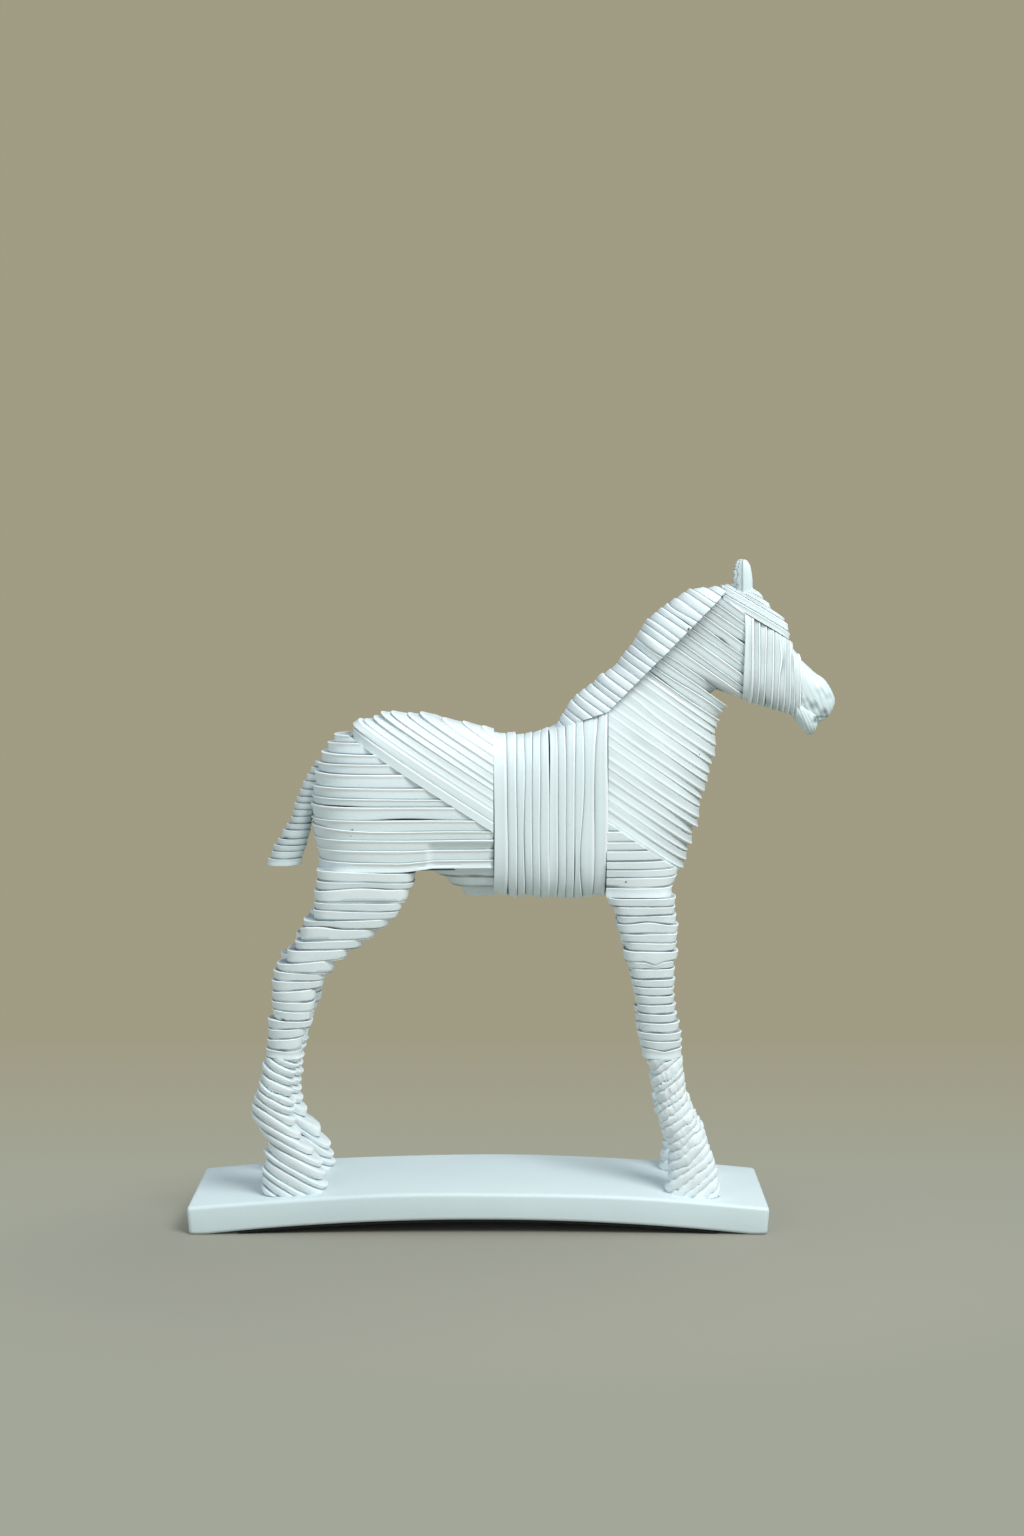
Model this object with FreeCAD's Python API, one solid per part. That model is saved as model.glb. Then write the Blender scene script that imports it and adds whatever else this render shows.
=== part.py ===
import FreeCAD, Part
import math
import os
from FreeCAD import Vector

# Standing foal of wound strips on an arched slab plinth. Millimetres, +Z up, the foal faces +X.
# The origin lies under the middle of the whole object, on the surface that it stands on.

os.makedirs("parts", exist_ok=True)

# Plinth
plinth_length = 325.0
plinth_depth = 78.0
plinth_thickness = 16.0
plinth_rise = 8.5
plinth_centre_x = -19.4
rest_land_width = 9.0
lining_thickness = 1.0
lining_gap = 0.2
lining_end_margin = 26.0
lining_side_margin = 1.5

# Pegs that hold the feet to the plinth
peg_diameter = 4.0
peg_depth = 10.0
hind_peg_top = 56.0
fore_peg_top = 70.0
hind_peg_setback = 6.5
fore_peg_setback = 11.0

# Levels and places of the figure
leg_height = 182.5
elbow_drop = 15.0
flank_x = -10.4
hind_foot_setback = 114.0
fore_foot_reach = 52.0
stance_width = 44.0
strip_wall = 3.5
leg_strip_wall = 4.5
lap_depth = 1.0

# Trunk
barrel_length = 64.0
barrel_height = 94.5
barrel_width = 60.0
belly_drop = 17.5
belly_width = 50.0
haunch_length = 104.0
haunch_height = 78.0
haunch_width = 66.0
croup_length = 81.0
croup_height = 66.0
croup_width = 58.0
croup_drop = 55.0
croup_tilt = 33.0
brisket_length = 41.0
brisket_width = 57.0
strap_drop = 49.0

# Legs
thigh_length = 55.0
thigh_width = 29.0
forearm_length = 37.0
forearm_width = 24.0
seam_height = 75.5
pastern_tilt = 31.0
fetlock_tilt = -38.0

# Neck and head
neck_reach = 77.0
neck_height = 162.0
neck_width = 57.0
neck_tilt = 35.0
chest_lift = 12.0
mane_proud = 1.3
mane_tilt = 45.6
withers_tilt = 20.0
mane_foot_drop = 69.0
poll_setback = 12.0
withers_reach = 30.0
strap_proud = 1.0
edge_proud = 0.8
border_proud = 1.0
head_length = 53.0
head_height = 63.0
head_width = 30.0
cheek_length = 33.0
brow_tilt = 30.5
brow_width = 27.0
brow_drop = 14.1
brow_height = 14.1
muzzle_width = 18.6
ear_height = 19.5
ear_breadth = 10.5
ear_depth = 6.5
ear_spacing = 15.0
ear_sink = 4.0

# Tail
tail_length_share = 0.77
tail_reach = 27.0
tail_width = 16.0
tail_wire_diameter = 2.0

# Dowels that join the core blocks
rod_sides = 8
rod_clearance = 0.2
dowel_diameter = 5.0
dowel_grip = 18.0

# Strip counts
haunch_strips = 13
belly_strips = 3
croup_strips = 11
brisket_strips = 8
neck_strips = 29
mane_strips = 20
brow_strips = 4
thigh_strips = 19
pastern_strips = 15
forearm_strips = 18
fetlock_strips = 20
tail_strips = 15

# Sides of the strip rings and cores
trunk_sides = 12
neck_sides = 10
croup_sides = 20
leg_sides = 8
muzzle_sides = 14
core_sides = 8
leg_core_sides = 6

overrun = 400.0

# Levels and places that follow from the sizes above
crown = plinth_rise + plinth_thickness
hip_level = crown + leg_height
elbow_level = hip_level - elbow_drop
belly_level = hip_level - belly_drop
back_level = belly_level + barrel_height
shoulder_x = flank_x + barrel_length
rump_x = flank_x - haunch_length
hind_foot_x = flank_x - hind_foot_setback
fore_foot_x = shoulder_x + fore_foot_reach
cheek_x = shoulder_x + neck_reach
muzzle_x = cheek_x + cheek_length
chest_level = elbow_level + chest_lift
poll_level = chest_level + neck_height
jaw_level = poll_level - head_height
croup_border_z = back_level - croup_drop
strap_z = back_level - strap_drop
half_stance = stance_width / 2
tail_length = haunch_height * tail_length_share
arch_radius = (plinth_length ** 2 / 4 + plinth_rise ** 2) / (2 * plinth_rise)
arch_centre_z = plinth_rise - arch_radius
hollow_half_span = plinth_length / 2 - rest_land_width
hollow_radius = (hollow_half_span ** 2 + plinth_rise ** 2) / (2 * plinth_rise)


# Outlines in the side view are written as shares of a length and a height from a corner.
def outline(corner_x, corner_z, length, height, shares):
    return [(corner_x + length * a, corner_z + height * b) for a, b in shares]


def along(tilt):
    angle = math.radians(tilt)
    return Vector(math.cos(angle), 0, -math.sin(angle))


def normal(tilt):
    angle = math.radians(tilt)
    return Vector(math.sin(angle), 0, math.cos(angle))


def level_of(point, tilt):
    return Vector(point[0], 0, point[1]).dot(normal(tilt))


def interpolate(table, value):
    if value <= table[0][0]:
        return table[0][1]
    for (a, fa), (b, fb) in zip(table, table[1:]):
        if value <= b:
            return fa + (fb - fa) * (value - a) / (b - a)
    return table[-1][1]


# Distance along a strip plane at which the plane crosses an outline.
def crossing(points, tilt, level):
    table = []
    for point in points:
        reach = Vector(point[0], 0, point[1]).dot(along(tilt))
        table.append((level_of(point, tilt), reach))
    return interpolate(table, level)


# Rounded section with a given number of sides, as shares from -1 to 1 in both directions.
def oval_shares(sides, fullness):
    power = 2 / fullness
    raw_shares = []
    for k in range(sides):
        angle = 2 * math.pi * (k + 0.5) / sides
        c, s = math.cos(angle), math.sin(angle)
        raw_shares.append((math.copysign(abs(c) ** power, c), math.copysign(abs(s) ** power, s)))
    widest = max(a for a, b in raw_shares)
    deepest = max(b for a, b in raw_shares)
    return [(a / widest, b / deepest) for a, b in raw_shares]


# Plan section drawn from back to front on one side and mirrored, as shares of length and width.
def mirrored_shares(side_shares):
    right = [(2 * a - 1, -b) for a, b in side_shares]
    left = [(2 * a - 1, b) for a, b in reversed(side_shares)]
    return right + left


# Shares of a zone's height between which its section changes.
section_change_shares = [(0.55, 0.0), (0.9, 1.0)]


# One wound zone: strips in parallel planes between two outlines.
class Zone:
    def __init__(self, tilt, back, front, widths, low, high, shares, centre_y=None, proud=None,
                 high_shares=None):
        self.tilt = tilt
        self.back = back
        self.front = front
        self.widths = widths
        self.low = low
        self.high = high
        self.shares = shares
        self.centre_y = centre_y or [(0, 0)]
        self.proud = proud or [(0, 0)]
        self.high_shares = high_shares

    # The section at a share of the height. It may change from one shape below to another above.
    def section(self, share):
        if self.high_shares is None:
            return self.shares
        turn = interpolate(section_change_shares, share)
        return [(a + (c - a) * turn, b + (d - b) * turn)
                for (a, b), (c, d) in zip(self.shares, self.high_shares)]

    def ring(self, level, inset, at_level=None, shares=None):
        share = (level - self.low) / (self.high - self.low)
        start = crossing(self.back, self.tilt, level) + inset
        end = crossing(self.front, self.tilt, level) - inset
        proud = interpolate(self.proud, share)
        half = interpolate(self.widths, share) - inset + proud
        middle_y = interpolate(self.centre_y, share)
        centre, reach = (start + end) / 2, (end - start) / 2
        height = level if at_level is None else at_level
        base = normal(self.tilt) * height
        points = []
        for a, b in shares or self.section(share):
            step = along(self.tilt) * (centre + reach * a)
            points.append(base + step + Vector(0, middle_y + half * b, 0))
        return points

    # Strips with one edge lifted. The larger the share, the more each strip tapers with the form.
    def strips(self, levels, follow_share):
        solids = []
        for bottom, top in zip(levels, levels[1:]):
            middle = (bottom + top) / 2
            lower = self.ring(middle + (bottom - middle) * follow_share, lap_depth / 2, bottom)
            upper = self.ring(middle + (top - middle) * follow_share, -lap_depth / 2, top)
            solids.append(faceted([lower, upper]))
        return fuse(solids)

    # Carved core, a wall's thickness inside the strips, with a plainer section.
    def core(self, levels, wall, core_shares):
        return faceted([self.ring(level, wall, shares=core_shares) for level in levels])


def even_levels(low, high, count):
    return [low + (high - low) * k / count for k in range(count + 1)]


def share_levels(low, high, shares):
    return [low + (high - low) * share for share in shares]


def fuse(solids):
    if len(solids) == 1:
        return solids[0]
    return solids[0].multiFuse(solids[1:]).removeSplitter()


# Closed solid through rings of as many points, with flat triangles between them.
def faceted(rings):
    faces = [Part.Face(Part.makePolygon(rings[0] + rings[0][:1]))]
    faces.append(Part.Face(Part.makePolygon(rings[-1] + rings[-1][:1])))
    for lower, upper in zip(rings, rings[1:]):
        count = len(lower)
        for k in range(count):
            a, b = lower[k], lower[(k + 1) % count]
            c, d = upper[(k + 1) % count], upper[k]
            faces.append(Part.Face(Part.makePolygon([a, b, c, a])))
            faces.append(Part.Face(Part.makePolygon([a, c, d, a])))
    solid = Part.Solid(Part.makeShell(faces))
    if solid.Volume < 0:
        solid.reverse()
    return solid


# Large block on the upper side of a plane that crosses the figure from side to side.
def block_above(point, tilt):
    block = Part.makeBox(2 * overrun, 2 * overrun, overrun, Vector(-overrun, -overrun, 0))
    block.rotate(Vector(0, 0, 0), Vector(0, 1, 0), tilt)
    block.translate(Vector(point[0], 0, point[1]))
    return block


def block_ahead(x):
    return Part.makeBox(overrun, 2 * overrun, 2 * overrun, Vector(x, -overrun, -overrun))


# Straight rods with whittled flats, between pairs of end points, and the holes that take them.
def rod(base, top, diameter, extra):
    axis = (top - base).normalize()
    across = axis.cross(Vector(0, 1, 0)).normalize()
    beside = axis.cross(across)
    rings = []
    for end in (base - axis * extra, top + axis * extra):
        ring = []
        for k in range(rod_sides):
            angle = 2 * math.pi * (k + 0.5) / rod_sides
            reach = diameter / 2 + extra
            ring.append(end + across * (reach * math.cos(angle)) + beside * (reach * math.sin(angle)))
        rings.append(ring)
    face = Part.Face(Part.makePolygon(rings[0] + rings[0][:1]))
    return face.extrude(rings[1][0] - rings[0][0])


def rods(pins, diameter):
    return [rod(a, b, diameter, 0) for a, b in pins]


def bores(pins, diameter):
    return [rod(a, b, diameter, rod_clearance) for a, b in pins]


nodes = {}


# Plinth: a slab bent to a shallow arch, with a flat land under each end.
def arch_section(inner, outer, half_angle):
    def at(radius, angle):
        return Vector(plinth_centre_x + radius * math.sin(angle), 0,
                      arch_centre_z + radius * math.cos(angle))
    lower = Part.Arc(at(inner, -half_angle), at(inner, 0), at(inner, half_angle)).toShape()
    upper = Part.Arc(at(outer, -half_angle), at(outer, 0), at(outer, half_angle)).toShape()
    right = Part.makeLine(at(inner, half_angle), at(outer, half_angle))
    left = Part.makeLine(at(outer, -half_angle), at(inner, -half_angle))
    return Part.Face(Part.Wire([lower, right, upper, left]))


def slab(inner, outer, half_angle, depth):
    section = arch_section(inner, outer, half_angle)
    section.translate(Vector(0, -depth / 2, 0))
    return section.extrude(Vector(0, depth, 0))


def underside(x):
    return arch_centre_z + math.sqrt(arch_radius ** 2 - (x - plinth_centre_x) ** 2)


# Block with a hollow underside that starts at the inner edge of each land.
def hollow_block(radius, half_span, height, depth, margin):
    def at(x, z):
        return Vector(plinth_centre_x + x, -depth / 2, z)
    sag = radius - math.sqrt(radius ** 2 - half_span ** 2)
    hollow = Part.Arc(at(-half_span, 0), at(0, sag), at(half_span, 0)).toShape()
    corners = [at(half_span, 0), at(half_span + margin, 0), at(half_span + margin, height),
               at(-half_span - margin, height), at(-half_span - margin, 0), at(-half_span, 0)]
    sides = [Part.makeLine(a, b) for a, b in zip(corners, corners[1:])]
    return Part.Face(Part.Wire([hollow] + sides)).extrude(Vector(0, depth, 0))


end_angle = math.asin(plinth_length / 2 / arch_radius)
full_slab = slab(arch_radius - plinth_rise, arch_radius + plinth_thickness, end_angle, plinth_depth)
plinth_body = full_slab.common(hollow_block(hollow_radius, hollow_half_span, 2 * crown,
                                            plinth_depth, 2 * rest_land_width))


# Eight-sided pegs stand in blind holes in the plinth and reach up into the legs.
def top_surface(x):
    radius = arch_radius + plinth_thickness
    return arch_centre_z + math.sqrt(radius ** 2 - (x - plinth_centre_x) ** 2)


foot_pins = []
for x, top in ((hind_foot_x - hind_peg_setback, hind_peg_top),
               (fore_foot_x - fore_peg_setback, fore_peg_top)):
    for y in (-half_stance, half_stance):
        foot_pins.append((Vector(x, y, top_surface(x) - peg_depth), Vector(x, y, top)))
peg_bores = bores(foot_pins, peg_diameter)
plinth_body = plinth_body.cut(peg_bores)
nodes["plinth"] = plinth_body
nodes["foot_pegs"] = Part.makeCompound(rods(foot_pins, peg_diameter))
ground = slab(arch_radius - overrun, arch_radius + plinth_thickness, end_angle, 2 * overrun)

# Thin dark lining under the arch.
lining_radius = hollow_radius - lining_gap
lining_half_span = plinth_length / 2 - lining_end_margin


def lining_arc(radius):
    angle = math.asin(lining_half_span / hollow_radius)
    centre_z = plinth_rise - hollow_radius
    points = [Vector(plinth_centre_x + radius * math.sin(turn), lining_side_margin - plinth_depth / 2,
                     centre_z + radius * math.cos(turn)) for turn in (-angle, 0, angle)]
    return Part.Arc(*points).toShape(), points[0], points[2]


lining_top, top_left, top_right = lining_arc(lining_radius)
lining_foot, foot_left, foot_right = lining_arc(lining_radius - lining_thickness)
lining_wire = Part.Wire([lining_foot, Part.makeLine(foot_right, top_right), lining_top,
                         Part.makeLine(top_left, foot_left)])
lining_depth = plinth_depth - 2 * lining_side_margin
nodes["underside_lining"] = Part.Face(lining_wire).extrude(Vector(0, lining_depth, 0))

# Planes that part the wound zones from each other.
border_plane = block_above((flank_x, croup_border_z), croup_tilt)
strap_plane = block_above((shoulder_x, strap_z), neck_tilt)
mane_point = (shoulder_x, poll_level - mane_foot_drop)
mane_plane = block_above(mane_point, -mane_tilt)
withers_plane = block_above(mane_point, -withers_tilt)
brow_point = (cheek_x, poll_level - brow_drop)
brow_plane = block_above(brow_point, brow_tilt)
ahead_of_flank = block_ahead(flank_x)
ahead_of_withers = block_ahead(shoulder_x - withers_reach)
ahead_of_shoulder = block_ahead(shoulder_x)
ahead_of_cheek = block_ahead(cheek_x)
ahead_of_poll = block_ahead(cheek_x - poll_setback)
ahead_of_muzzle = block_ahead(muzzle_x)

# Haunch: level strips around the rump and thighs, forward to the flank.
haunch_back_shares = [(0.034, -0.1), (0.034, 0.0), (0.038, 0.078), (0.014, 0.195), (0.0, 0.325),
                      (0.0, 0.442), (0.005, 0.558), (0.014, 0.662), (0.034, 0.753),
                      (0.063, 0.831), (0.101, 0.909), (0.149, 0.974), (0.183, 1.013)]
haunch_front_shares = [(1.1, -0.1), (1.1, 1.1)]
haunch_width_shares = [(0.0, 0.97), (0.2, 1.0), (0.34, 1.0), (0.42, 0.98), (0.5, 0.955),
                       (0.56, 0.92), (0.64, 0.87), (0.71, 0.80), (0.79, 0.71), (0.86, 0.60),
                       (0.94, 0.45), (1.0, 0.30)]
haunch_plan_shares = [(0.0, 0.18), (0.027, 0.45), (0.082, 0.70), (0.164, 0.87), (0.29, 0.95),
                      (0.456, 0.94), (0.684, 0.86), (1.0, 0.81)]
haunch_low_plan_shares = [(0.0, 0.22), (0.027, 0.50), (0.082, 0.74), (0.164, 0.89), (0.29, 0.95),
                          (0.50, 0.93), (0.68, 0.80), (1.0, 0.70)]
haunch_core_shares = [0.0, 0.2, 0.44, 0.64, 0.80, 0.90]
haunch_core_plan_shares = [(0.03, 0.45), (0.2, 0.86), (0.5, 0.84), (1.0, 0.66)]


def widths(width, shares):
    return [(share, width / 2 * size) for share, size in shares]


haunch = Zone(0, outline(rump_x, hip_level, haunch_length, haunch_height, haunch_back_shares),
              outline(rump_x, hip_level, haunch_length, haunch_height, haunch_front_shares),
              widths(haunch_width, haunch_width_shares), hip_level, hip_level + haunch_height,
              mirrored_shares(haunch_low_plan_shares),
             high_shares=mirrored_shares(haunch_plan_shares))
haunch_body = haunch.strips(even_levels(haunch.low, haunch.high, haunch_strips), 0.35)
haunch_body = haunch_body.cut([border_plane, ahead_of_flank])

# Croup: slanting strips over the back, down to the border strip on each side.
croup_back_shares = [(-1.0, 0.70), (-1.0, 0.788), (-0.988, 0.879), (-0.914, 0.909),
                     (-0.864, 0.939), (-0.796, 0.970), (-0.71, 0.997), (-0.611, 0.988),
                     (-0.494, 0.979), (-0.389, 0.962), (-0.247, 0.921), (-0.111, 0.879),
                     (0.0, 0.841), (0.173, 0.818), (0.346, 0.803)]
croup_width_shares = [(0.0, 1.0), (1.0, 0.97)]
croup_core_shares = [0.0, 0.25, 0.5, 0.72]
croup_reach_share = 2.3
croup_top_share = 0.87
croup_back = outline(flank_x, croup_border_z, croup_length, croup_height, croup_back_shares)
croup_reach = along(croup_tilt) * (croup_length * croup_reach_share)
croup_front = [(x + croup_reach.x, z + croup_reach.z) for x, z in croup_back]
croup_low = level_of((flank_x, croup_border_z), croup_tilt)
croup_high = level_of((flank_x, croup_border_z + croup_height * croup_top_share), croup_tilt)
croup = Zone(croup_tilt, croup_back, croup_front, widths(croup_width, croup_width_shares),
             croup_low, croup_high, oval_shares(croup_sides, 3.0),
             proud=[(0, border_proud), (1 / croup_strips, border_proud), (1.05 / croup_strips, 0)])
croup_body = croup.strips(even_levels(croup.low, croup.high, croup_strips), 0.8)
croup_body = croup_body.cut(ahead_of_flank)

# Belly: short level strips between the thighs and the barrel.
belly_foot_share = 0.057
belly_back_shares = [(0.865, 0.057), (0.817, 0.257), (0.745, 0.571), (0.673, 0.886), (0.615, 1.057)]
belly_width_shares = [(0.0, 0.35), (0.2, 0.46), (0.5, 0.78), (0.85, 0.94), (1.0, 0.98)]
belly_plan_shares = [(0.0, 0.4), (0.12, 0.75), (0.35, 0.95), (1.0, 1.0)]
belly = Zone(0, outline(rump_x, belly_level, haunch_length, belly_drop, belly_back_shares),
             outline(rump_x, hip_level, haunch_length, haunch_height, haunch_front_shares),
             widths(belly_width, belly_width_shares),
             belly_level + belly_drop * belly_foot_share, hip_level,
             mirrored_shares(belly_plan_shares))
belly_body = belly.strips(even_levels(belly.low, belly.high, belly_strips), 0.3)
belly_body = belly_body.cut(ahead_of_flank)

# Barrel: upright strips, with a broad one at each end that stands proud.
barrel_top_shares = [(-0.1, 1.01), (0.0, 0.998), (0.125, 0.977), (0.25, 0.97), (0.375, 0.987),
                     (0.5, 1.016), (0.594, 1.05), (0.75, 1.12), (0.906, 1.18), (1.0, 1.22)]
barrel_bottom_shares = [(-0.1, 0.03), (0.0, 0.021), (0.156, 0.005), (0.36, -0.003),
                        (0.594, -0.003), (0.83, 0.005), (1.0, 0.021)]
barrel_width_shares = [(0.0, 0.955), (0.28, 0.985), (0.6, 1.0), (0.9, 0.98), (1.0, 0.965)]
barrel_strip_shares = [0.0, 0.117, 0.20, 0.27, 0.34, 0.41, 0.49, 0.56, 0.63, 0.71, 0.79, 0.883, 1.0]
barrel_core_shares = [0.0, 0.2, 0.5, 1.0]
barrel = Zone(90, outline(flank_x, belly_level, barrel_length, barrel_height, barrel_top_shares),
              outline(flank_x, belly_level, barrel_length, barrel_height, barrel_bottom_shares),
              widths(barrel_width, barrel_width_shares), flank_x, shoulder_x,
              oval_shares(trunk_sides, 2.8),
              proud=[(0, edge_proud), (0.117, edge_proud), (0.118, 0), (0.882, 0),
                     (0.883, edge_proud)])
barrel_body = barrel.strips(share_levels(barrel.low, barrel.high, barrel_strip_shares), 0.7)
barrel_body = barrel_body.cut(withers_plane.common(ahead_of_withers))

# Brisket: level strips from the elbows up to the chest strap.
brisket_back_shares = [(-0.3, -0.1), (-0.3, 1.0)]
brisket_front_shares = [(0.90, -0.1), (0.90, 0.0), (0.915, 0.12), (1.0, 0.27), (1.03, 1.0)]
brisket_width_shares = [(0.0, 0.97), (0.3, 1.0), (1.0, 1.0)]
brisket_plan_shares = [(0.0, 1.0), (0.5, 1.0), (0.78, 0.93), (0.93, 0.74), (1.0, 0.42)]
brisket_height = strap_z - elbow_level
brisket = Zone(0, outline(shoulder_x, elbow_level, brisket_length, brisket_height,
                          brisket_back_shares),
               outline(shoulder_x, elbow_level, brisket_length, brisket_height,
                       brisket_front_shares),
               widths(brisket_width, brisket_width_shares), elbow_level, strap_z,
               mirrored_shares(brisket_plan_shares))
brisket_core_plan_shares = [(0.0, 1.0), (0.68, 0.95), (0.92, 0.62)]
brisket_body = brisket.strips(even_levels(brisket.low, brisket.high, brisket_strips), 0.5)
brisket_body = brisket_body.cut(strap_plane).common(ahead_of_shoulder)

# Neck: slanting strips from the strap across the chest up to the head.
crest_shares = [(-0.6, 0.352), (-0.377, 0.506), (-0.325, 0.543), (-0.26, 0.59), (-0.208, 0.623),
                (-0.091, 0.66), (-0.052, 0.685), (0.078, 0.722), (0.117, 0.753), (0.195, 0.802),
                (0.299, 0.883), (0.416, 0.926), (0.519, 0.963), (0.623, 0.994), (0.701, 0.993),
                (0.805, 1.0), (0.909, 1.006), (1.05, 1.01)]
chest_shares = [(0.532, -0.006), (0.571, 0.012), (0.61, 0.056), (0.63, 0.099), (0.662, 0.148),
                (0.682, 0.198), (0.695, 0.241), (0.708, 0.284), (0.753, 0.327), (0.77, 0.377),
                (0.792, 0.426), (0.799, 0.469), (0.831, 0.512), (0.838, 0.549), (0.896, 0.58),
                (0.779, 0.627), (0.818, 0.648), (0.987, 0.612), (1.09, 0.654), (1.22, 0.778),
                (1.35, 0.87)]
neck_width_shares = [(0.0, 0.98), (0.2, 0.98), (0.35, 0.89), (0.5, 0.74), (0.65, 0.62),
                     (0.8, 0.54), (1.0, 0.47)]
neck_core_shares = [0.0, 0.25, 0.5, 0.62, 0.665, 0.70, 0.80, 0.955]
neck_low = level_of((shoulder_x, strap_z), neck_tilt)
neck_high = level_of((cheek_x, poll_level - brow_drop), neck_tilt)
crest = outline(shoulder_x, chest_level, neck_reach, neck_height, crest_shares)
chest = outline(shoulder_x, chest_level, neck_reach, neck_height, chest_shares)
neck = Zone(neck_tilt, crest, chest, widths(neck_width, neck_width_shares), neck_low, neck_high,
            oval_shares(neck_sides, 2.4),
            proud=[(0, strap_proud), (2 / neck_strips, strap_proud), (2.05 / neck_strips, 0)])
neck_body = neck.strips(even_levels(neck.low, neck.high, neck_strips), 0.6)
neck_body = neck_body.cut([mane_plane, brow_plane, ahead_of_cheek]).common(ahead_of_shoulder)

# Mane: the same slant, proud of the neck, over the crest and the withers.
mane = Zone(neck_tilt, crest, chest, widths(neck_width, neck_width_shares), neck_low, neck_high,
            oval_shares(neck_sides, 2.4), proud=[(0, mane_proud)])
mane_low = level_of(crest[1], neck_tilt)
mane_high = level_of(crest[-2], neck_tilt)
mane_body = mane.strips(even_levels(mane_low, mane_high, mane_strips), 0.75)
mane_body = mane_body.common(mane_plane).common(withers_plane).common(ahead_of_withers)
mane_body = mane_body.cut(ahead_of_poll)

# Head: upright strips round the cheeks, slanting ones over the brow, a smooth muzzle.
cheek_top_shares = [(-0.2, 1.05), (0.0, 0.937), (0.32, 0.778), (0.472, 0.635), (0.509, 0.532),
                    (0.585, 0.397), (0.67, 0.31)]
cheek_bottom_shares = [(-0.2, 0.05), (0.0, 0.0), (0.094, -0.043), (0.32, -0.095),
                       (0.472, -0.135), (0.623, -0.183), (0.67, -0.19)]
cheek_width_shares = [(0.0, 1.0), (0.12, 0.97), (0.5, 0.85), (0.8, 0.72), (1.0, 0.64)]
cheek_strip_shares = [0.0, 0.164, 0.273, 0.385, 0.518, 0.621, 0.724, 0.815, 0.894, 1.0]
cheek = Zone(90, outline(cheek_x, jaw_level, head_length, head_height, cheek_top_shares),
             outline(cheek_x, jaw_level, head_length, head_height, cheek_bottom_shares),
             widths(head_width, cheek_width_shares), cheek_x, muzzle_x,
             oval_shares(trunk_sides, 2.6), proud=[(0, edge_proud), (0.16, edge_proud), (0.17, 0)])
cheek_body = cheek.strips(share_levels(cheek.low, cheek.high, cheek_strip_shares), 0.6)
cheek_body = cheek_body.cut(brow_plane)

poll_back_shares = [(-0.40, 0.88), (-0.32, 0.976), (-0.226, 1.008), (-0.094, 1.016),
                    (0.019, 1.008), (0.113, 1.0)]
brow_front_shares = [(0.519, 0.524), (0.515, 0.563), (0.453, 0.667), (0.44, 0.717),
                     (0.302, 0.803), (0.213, 0.911), (0.151, 0.962), (0.12, 0.99)]
brow_width_shares = [(0.0, 1.0), (0.3, 0.95), (0.6, 0.82), (1.0, 0.6)]
brow_low = level_of(brow_point, brow_tilt)
brow = Zone(brow_tilt, outline(cheek_x, jaw_level, head_length, head_height, poll_back_shares),
            outline(cheek_x, jaw_level, head_length, head_height, brow_front_shares),
            widths(brow_width, brow_width_shares), brow_low, brow_low + brow_height,
            oval_shares(trunk_sides, 2.4))
brow_body = brow.strips(even_levels(brow.low, brow.high, brow_strips), 0.7)
brow_body = brow_body.common(ahead_of_poll)

# Muzzle: rings given as place, underside, top and width shares of the head.
muzzle_ring_shares = [(0.0, -0.19, 0.355, 1.0), (0.22, -0.24, 0.29, 1.0),
                      (0.45, -0.235, 0.225, 0.97), (0.70, -0.205, 0.17, 0.88),
                      (0.88, -0.15, 0.09, 0.68), (1.0, -0.07, 0.01, 0.30)]
lip_ring_shares = [(-0.10, -0.25, -0.08, 0.60), (0.10, -0.31, -0.10, 0.72),
                   (0.25, -0.325, -0.12, 0.72), (0.40, -0.30, -0.16, 0.66),
                   (0.49, -0.25, -0.20, 0.48)]
muzzle_length = head_length - cheek_length


def head_rings(ring_shares, sides):
    section_shares = oval_shares(sides, 2.3)
    rings = []
    for place, under, over, width in ring_shares:
        x = muzzle_x + muzzle_length * place
        bottom, top = jaw_level + head_height * under, jaw_level + head_height * over
        rings.append([Vector(x, muzzle_width / 2 * width * b,
                             (bottom + top) / 2 + (top - bottom) / 2 * a)
                      for a, b in section_shares])
    return rings


muzzle_body = faceted(head_rings(muzzle_ring_shares, muzzle_sides))
lip_body = faceted(head_rings(lip_ring_shares, trunk_sides)).common(ahead_of_muzzle)
muzzle_body = fuse([muzzle_body, lip_body])

# Ears: cupped leaves that stand on the brow, open to the back.
ear_plan_shares = [(-1.0, -0.75), (-0.3, -1.0), (0.6, -0.8), (1.0, 0.0), (0.6, 0.8), (-0.3, 1.0),
                   (-1.0, 0.75)]
ear_cup_shares = [(-0.8, 0.42), (0.3, 0.42), (0.3, -0.42), (-0.8, -0.42)]
ear_ring_shares = [(-0.25, 0.0, 0.95), (0.25, 0.03, 1.0), (0.55, 0.0, 0.93), (0.8, -0.02, 0.74),
                   (0.94, -0.03, 0.46), (1.0, -0.04, 0.2)]


def ear():
    rings = []
    for rise, lean, size in ear_ring_shares:
        centre = Vector(cheek_x + ear_breadth * lean, -ear_spacing / 2,
                        poll_level - ear_sink + ear_height * rise)
        rings.append([centre + Vector(ear_breadth / 2 * size * a, ear_depth / 2 * size * b, 0)
                      for a, b in ear_plan_shares + ear_cup_shares])
    return faceted(rings).cut(brow_body)


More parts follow.
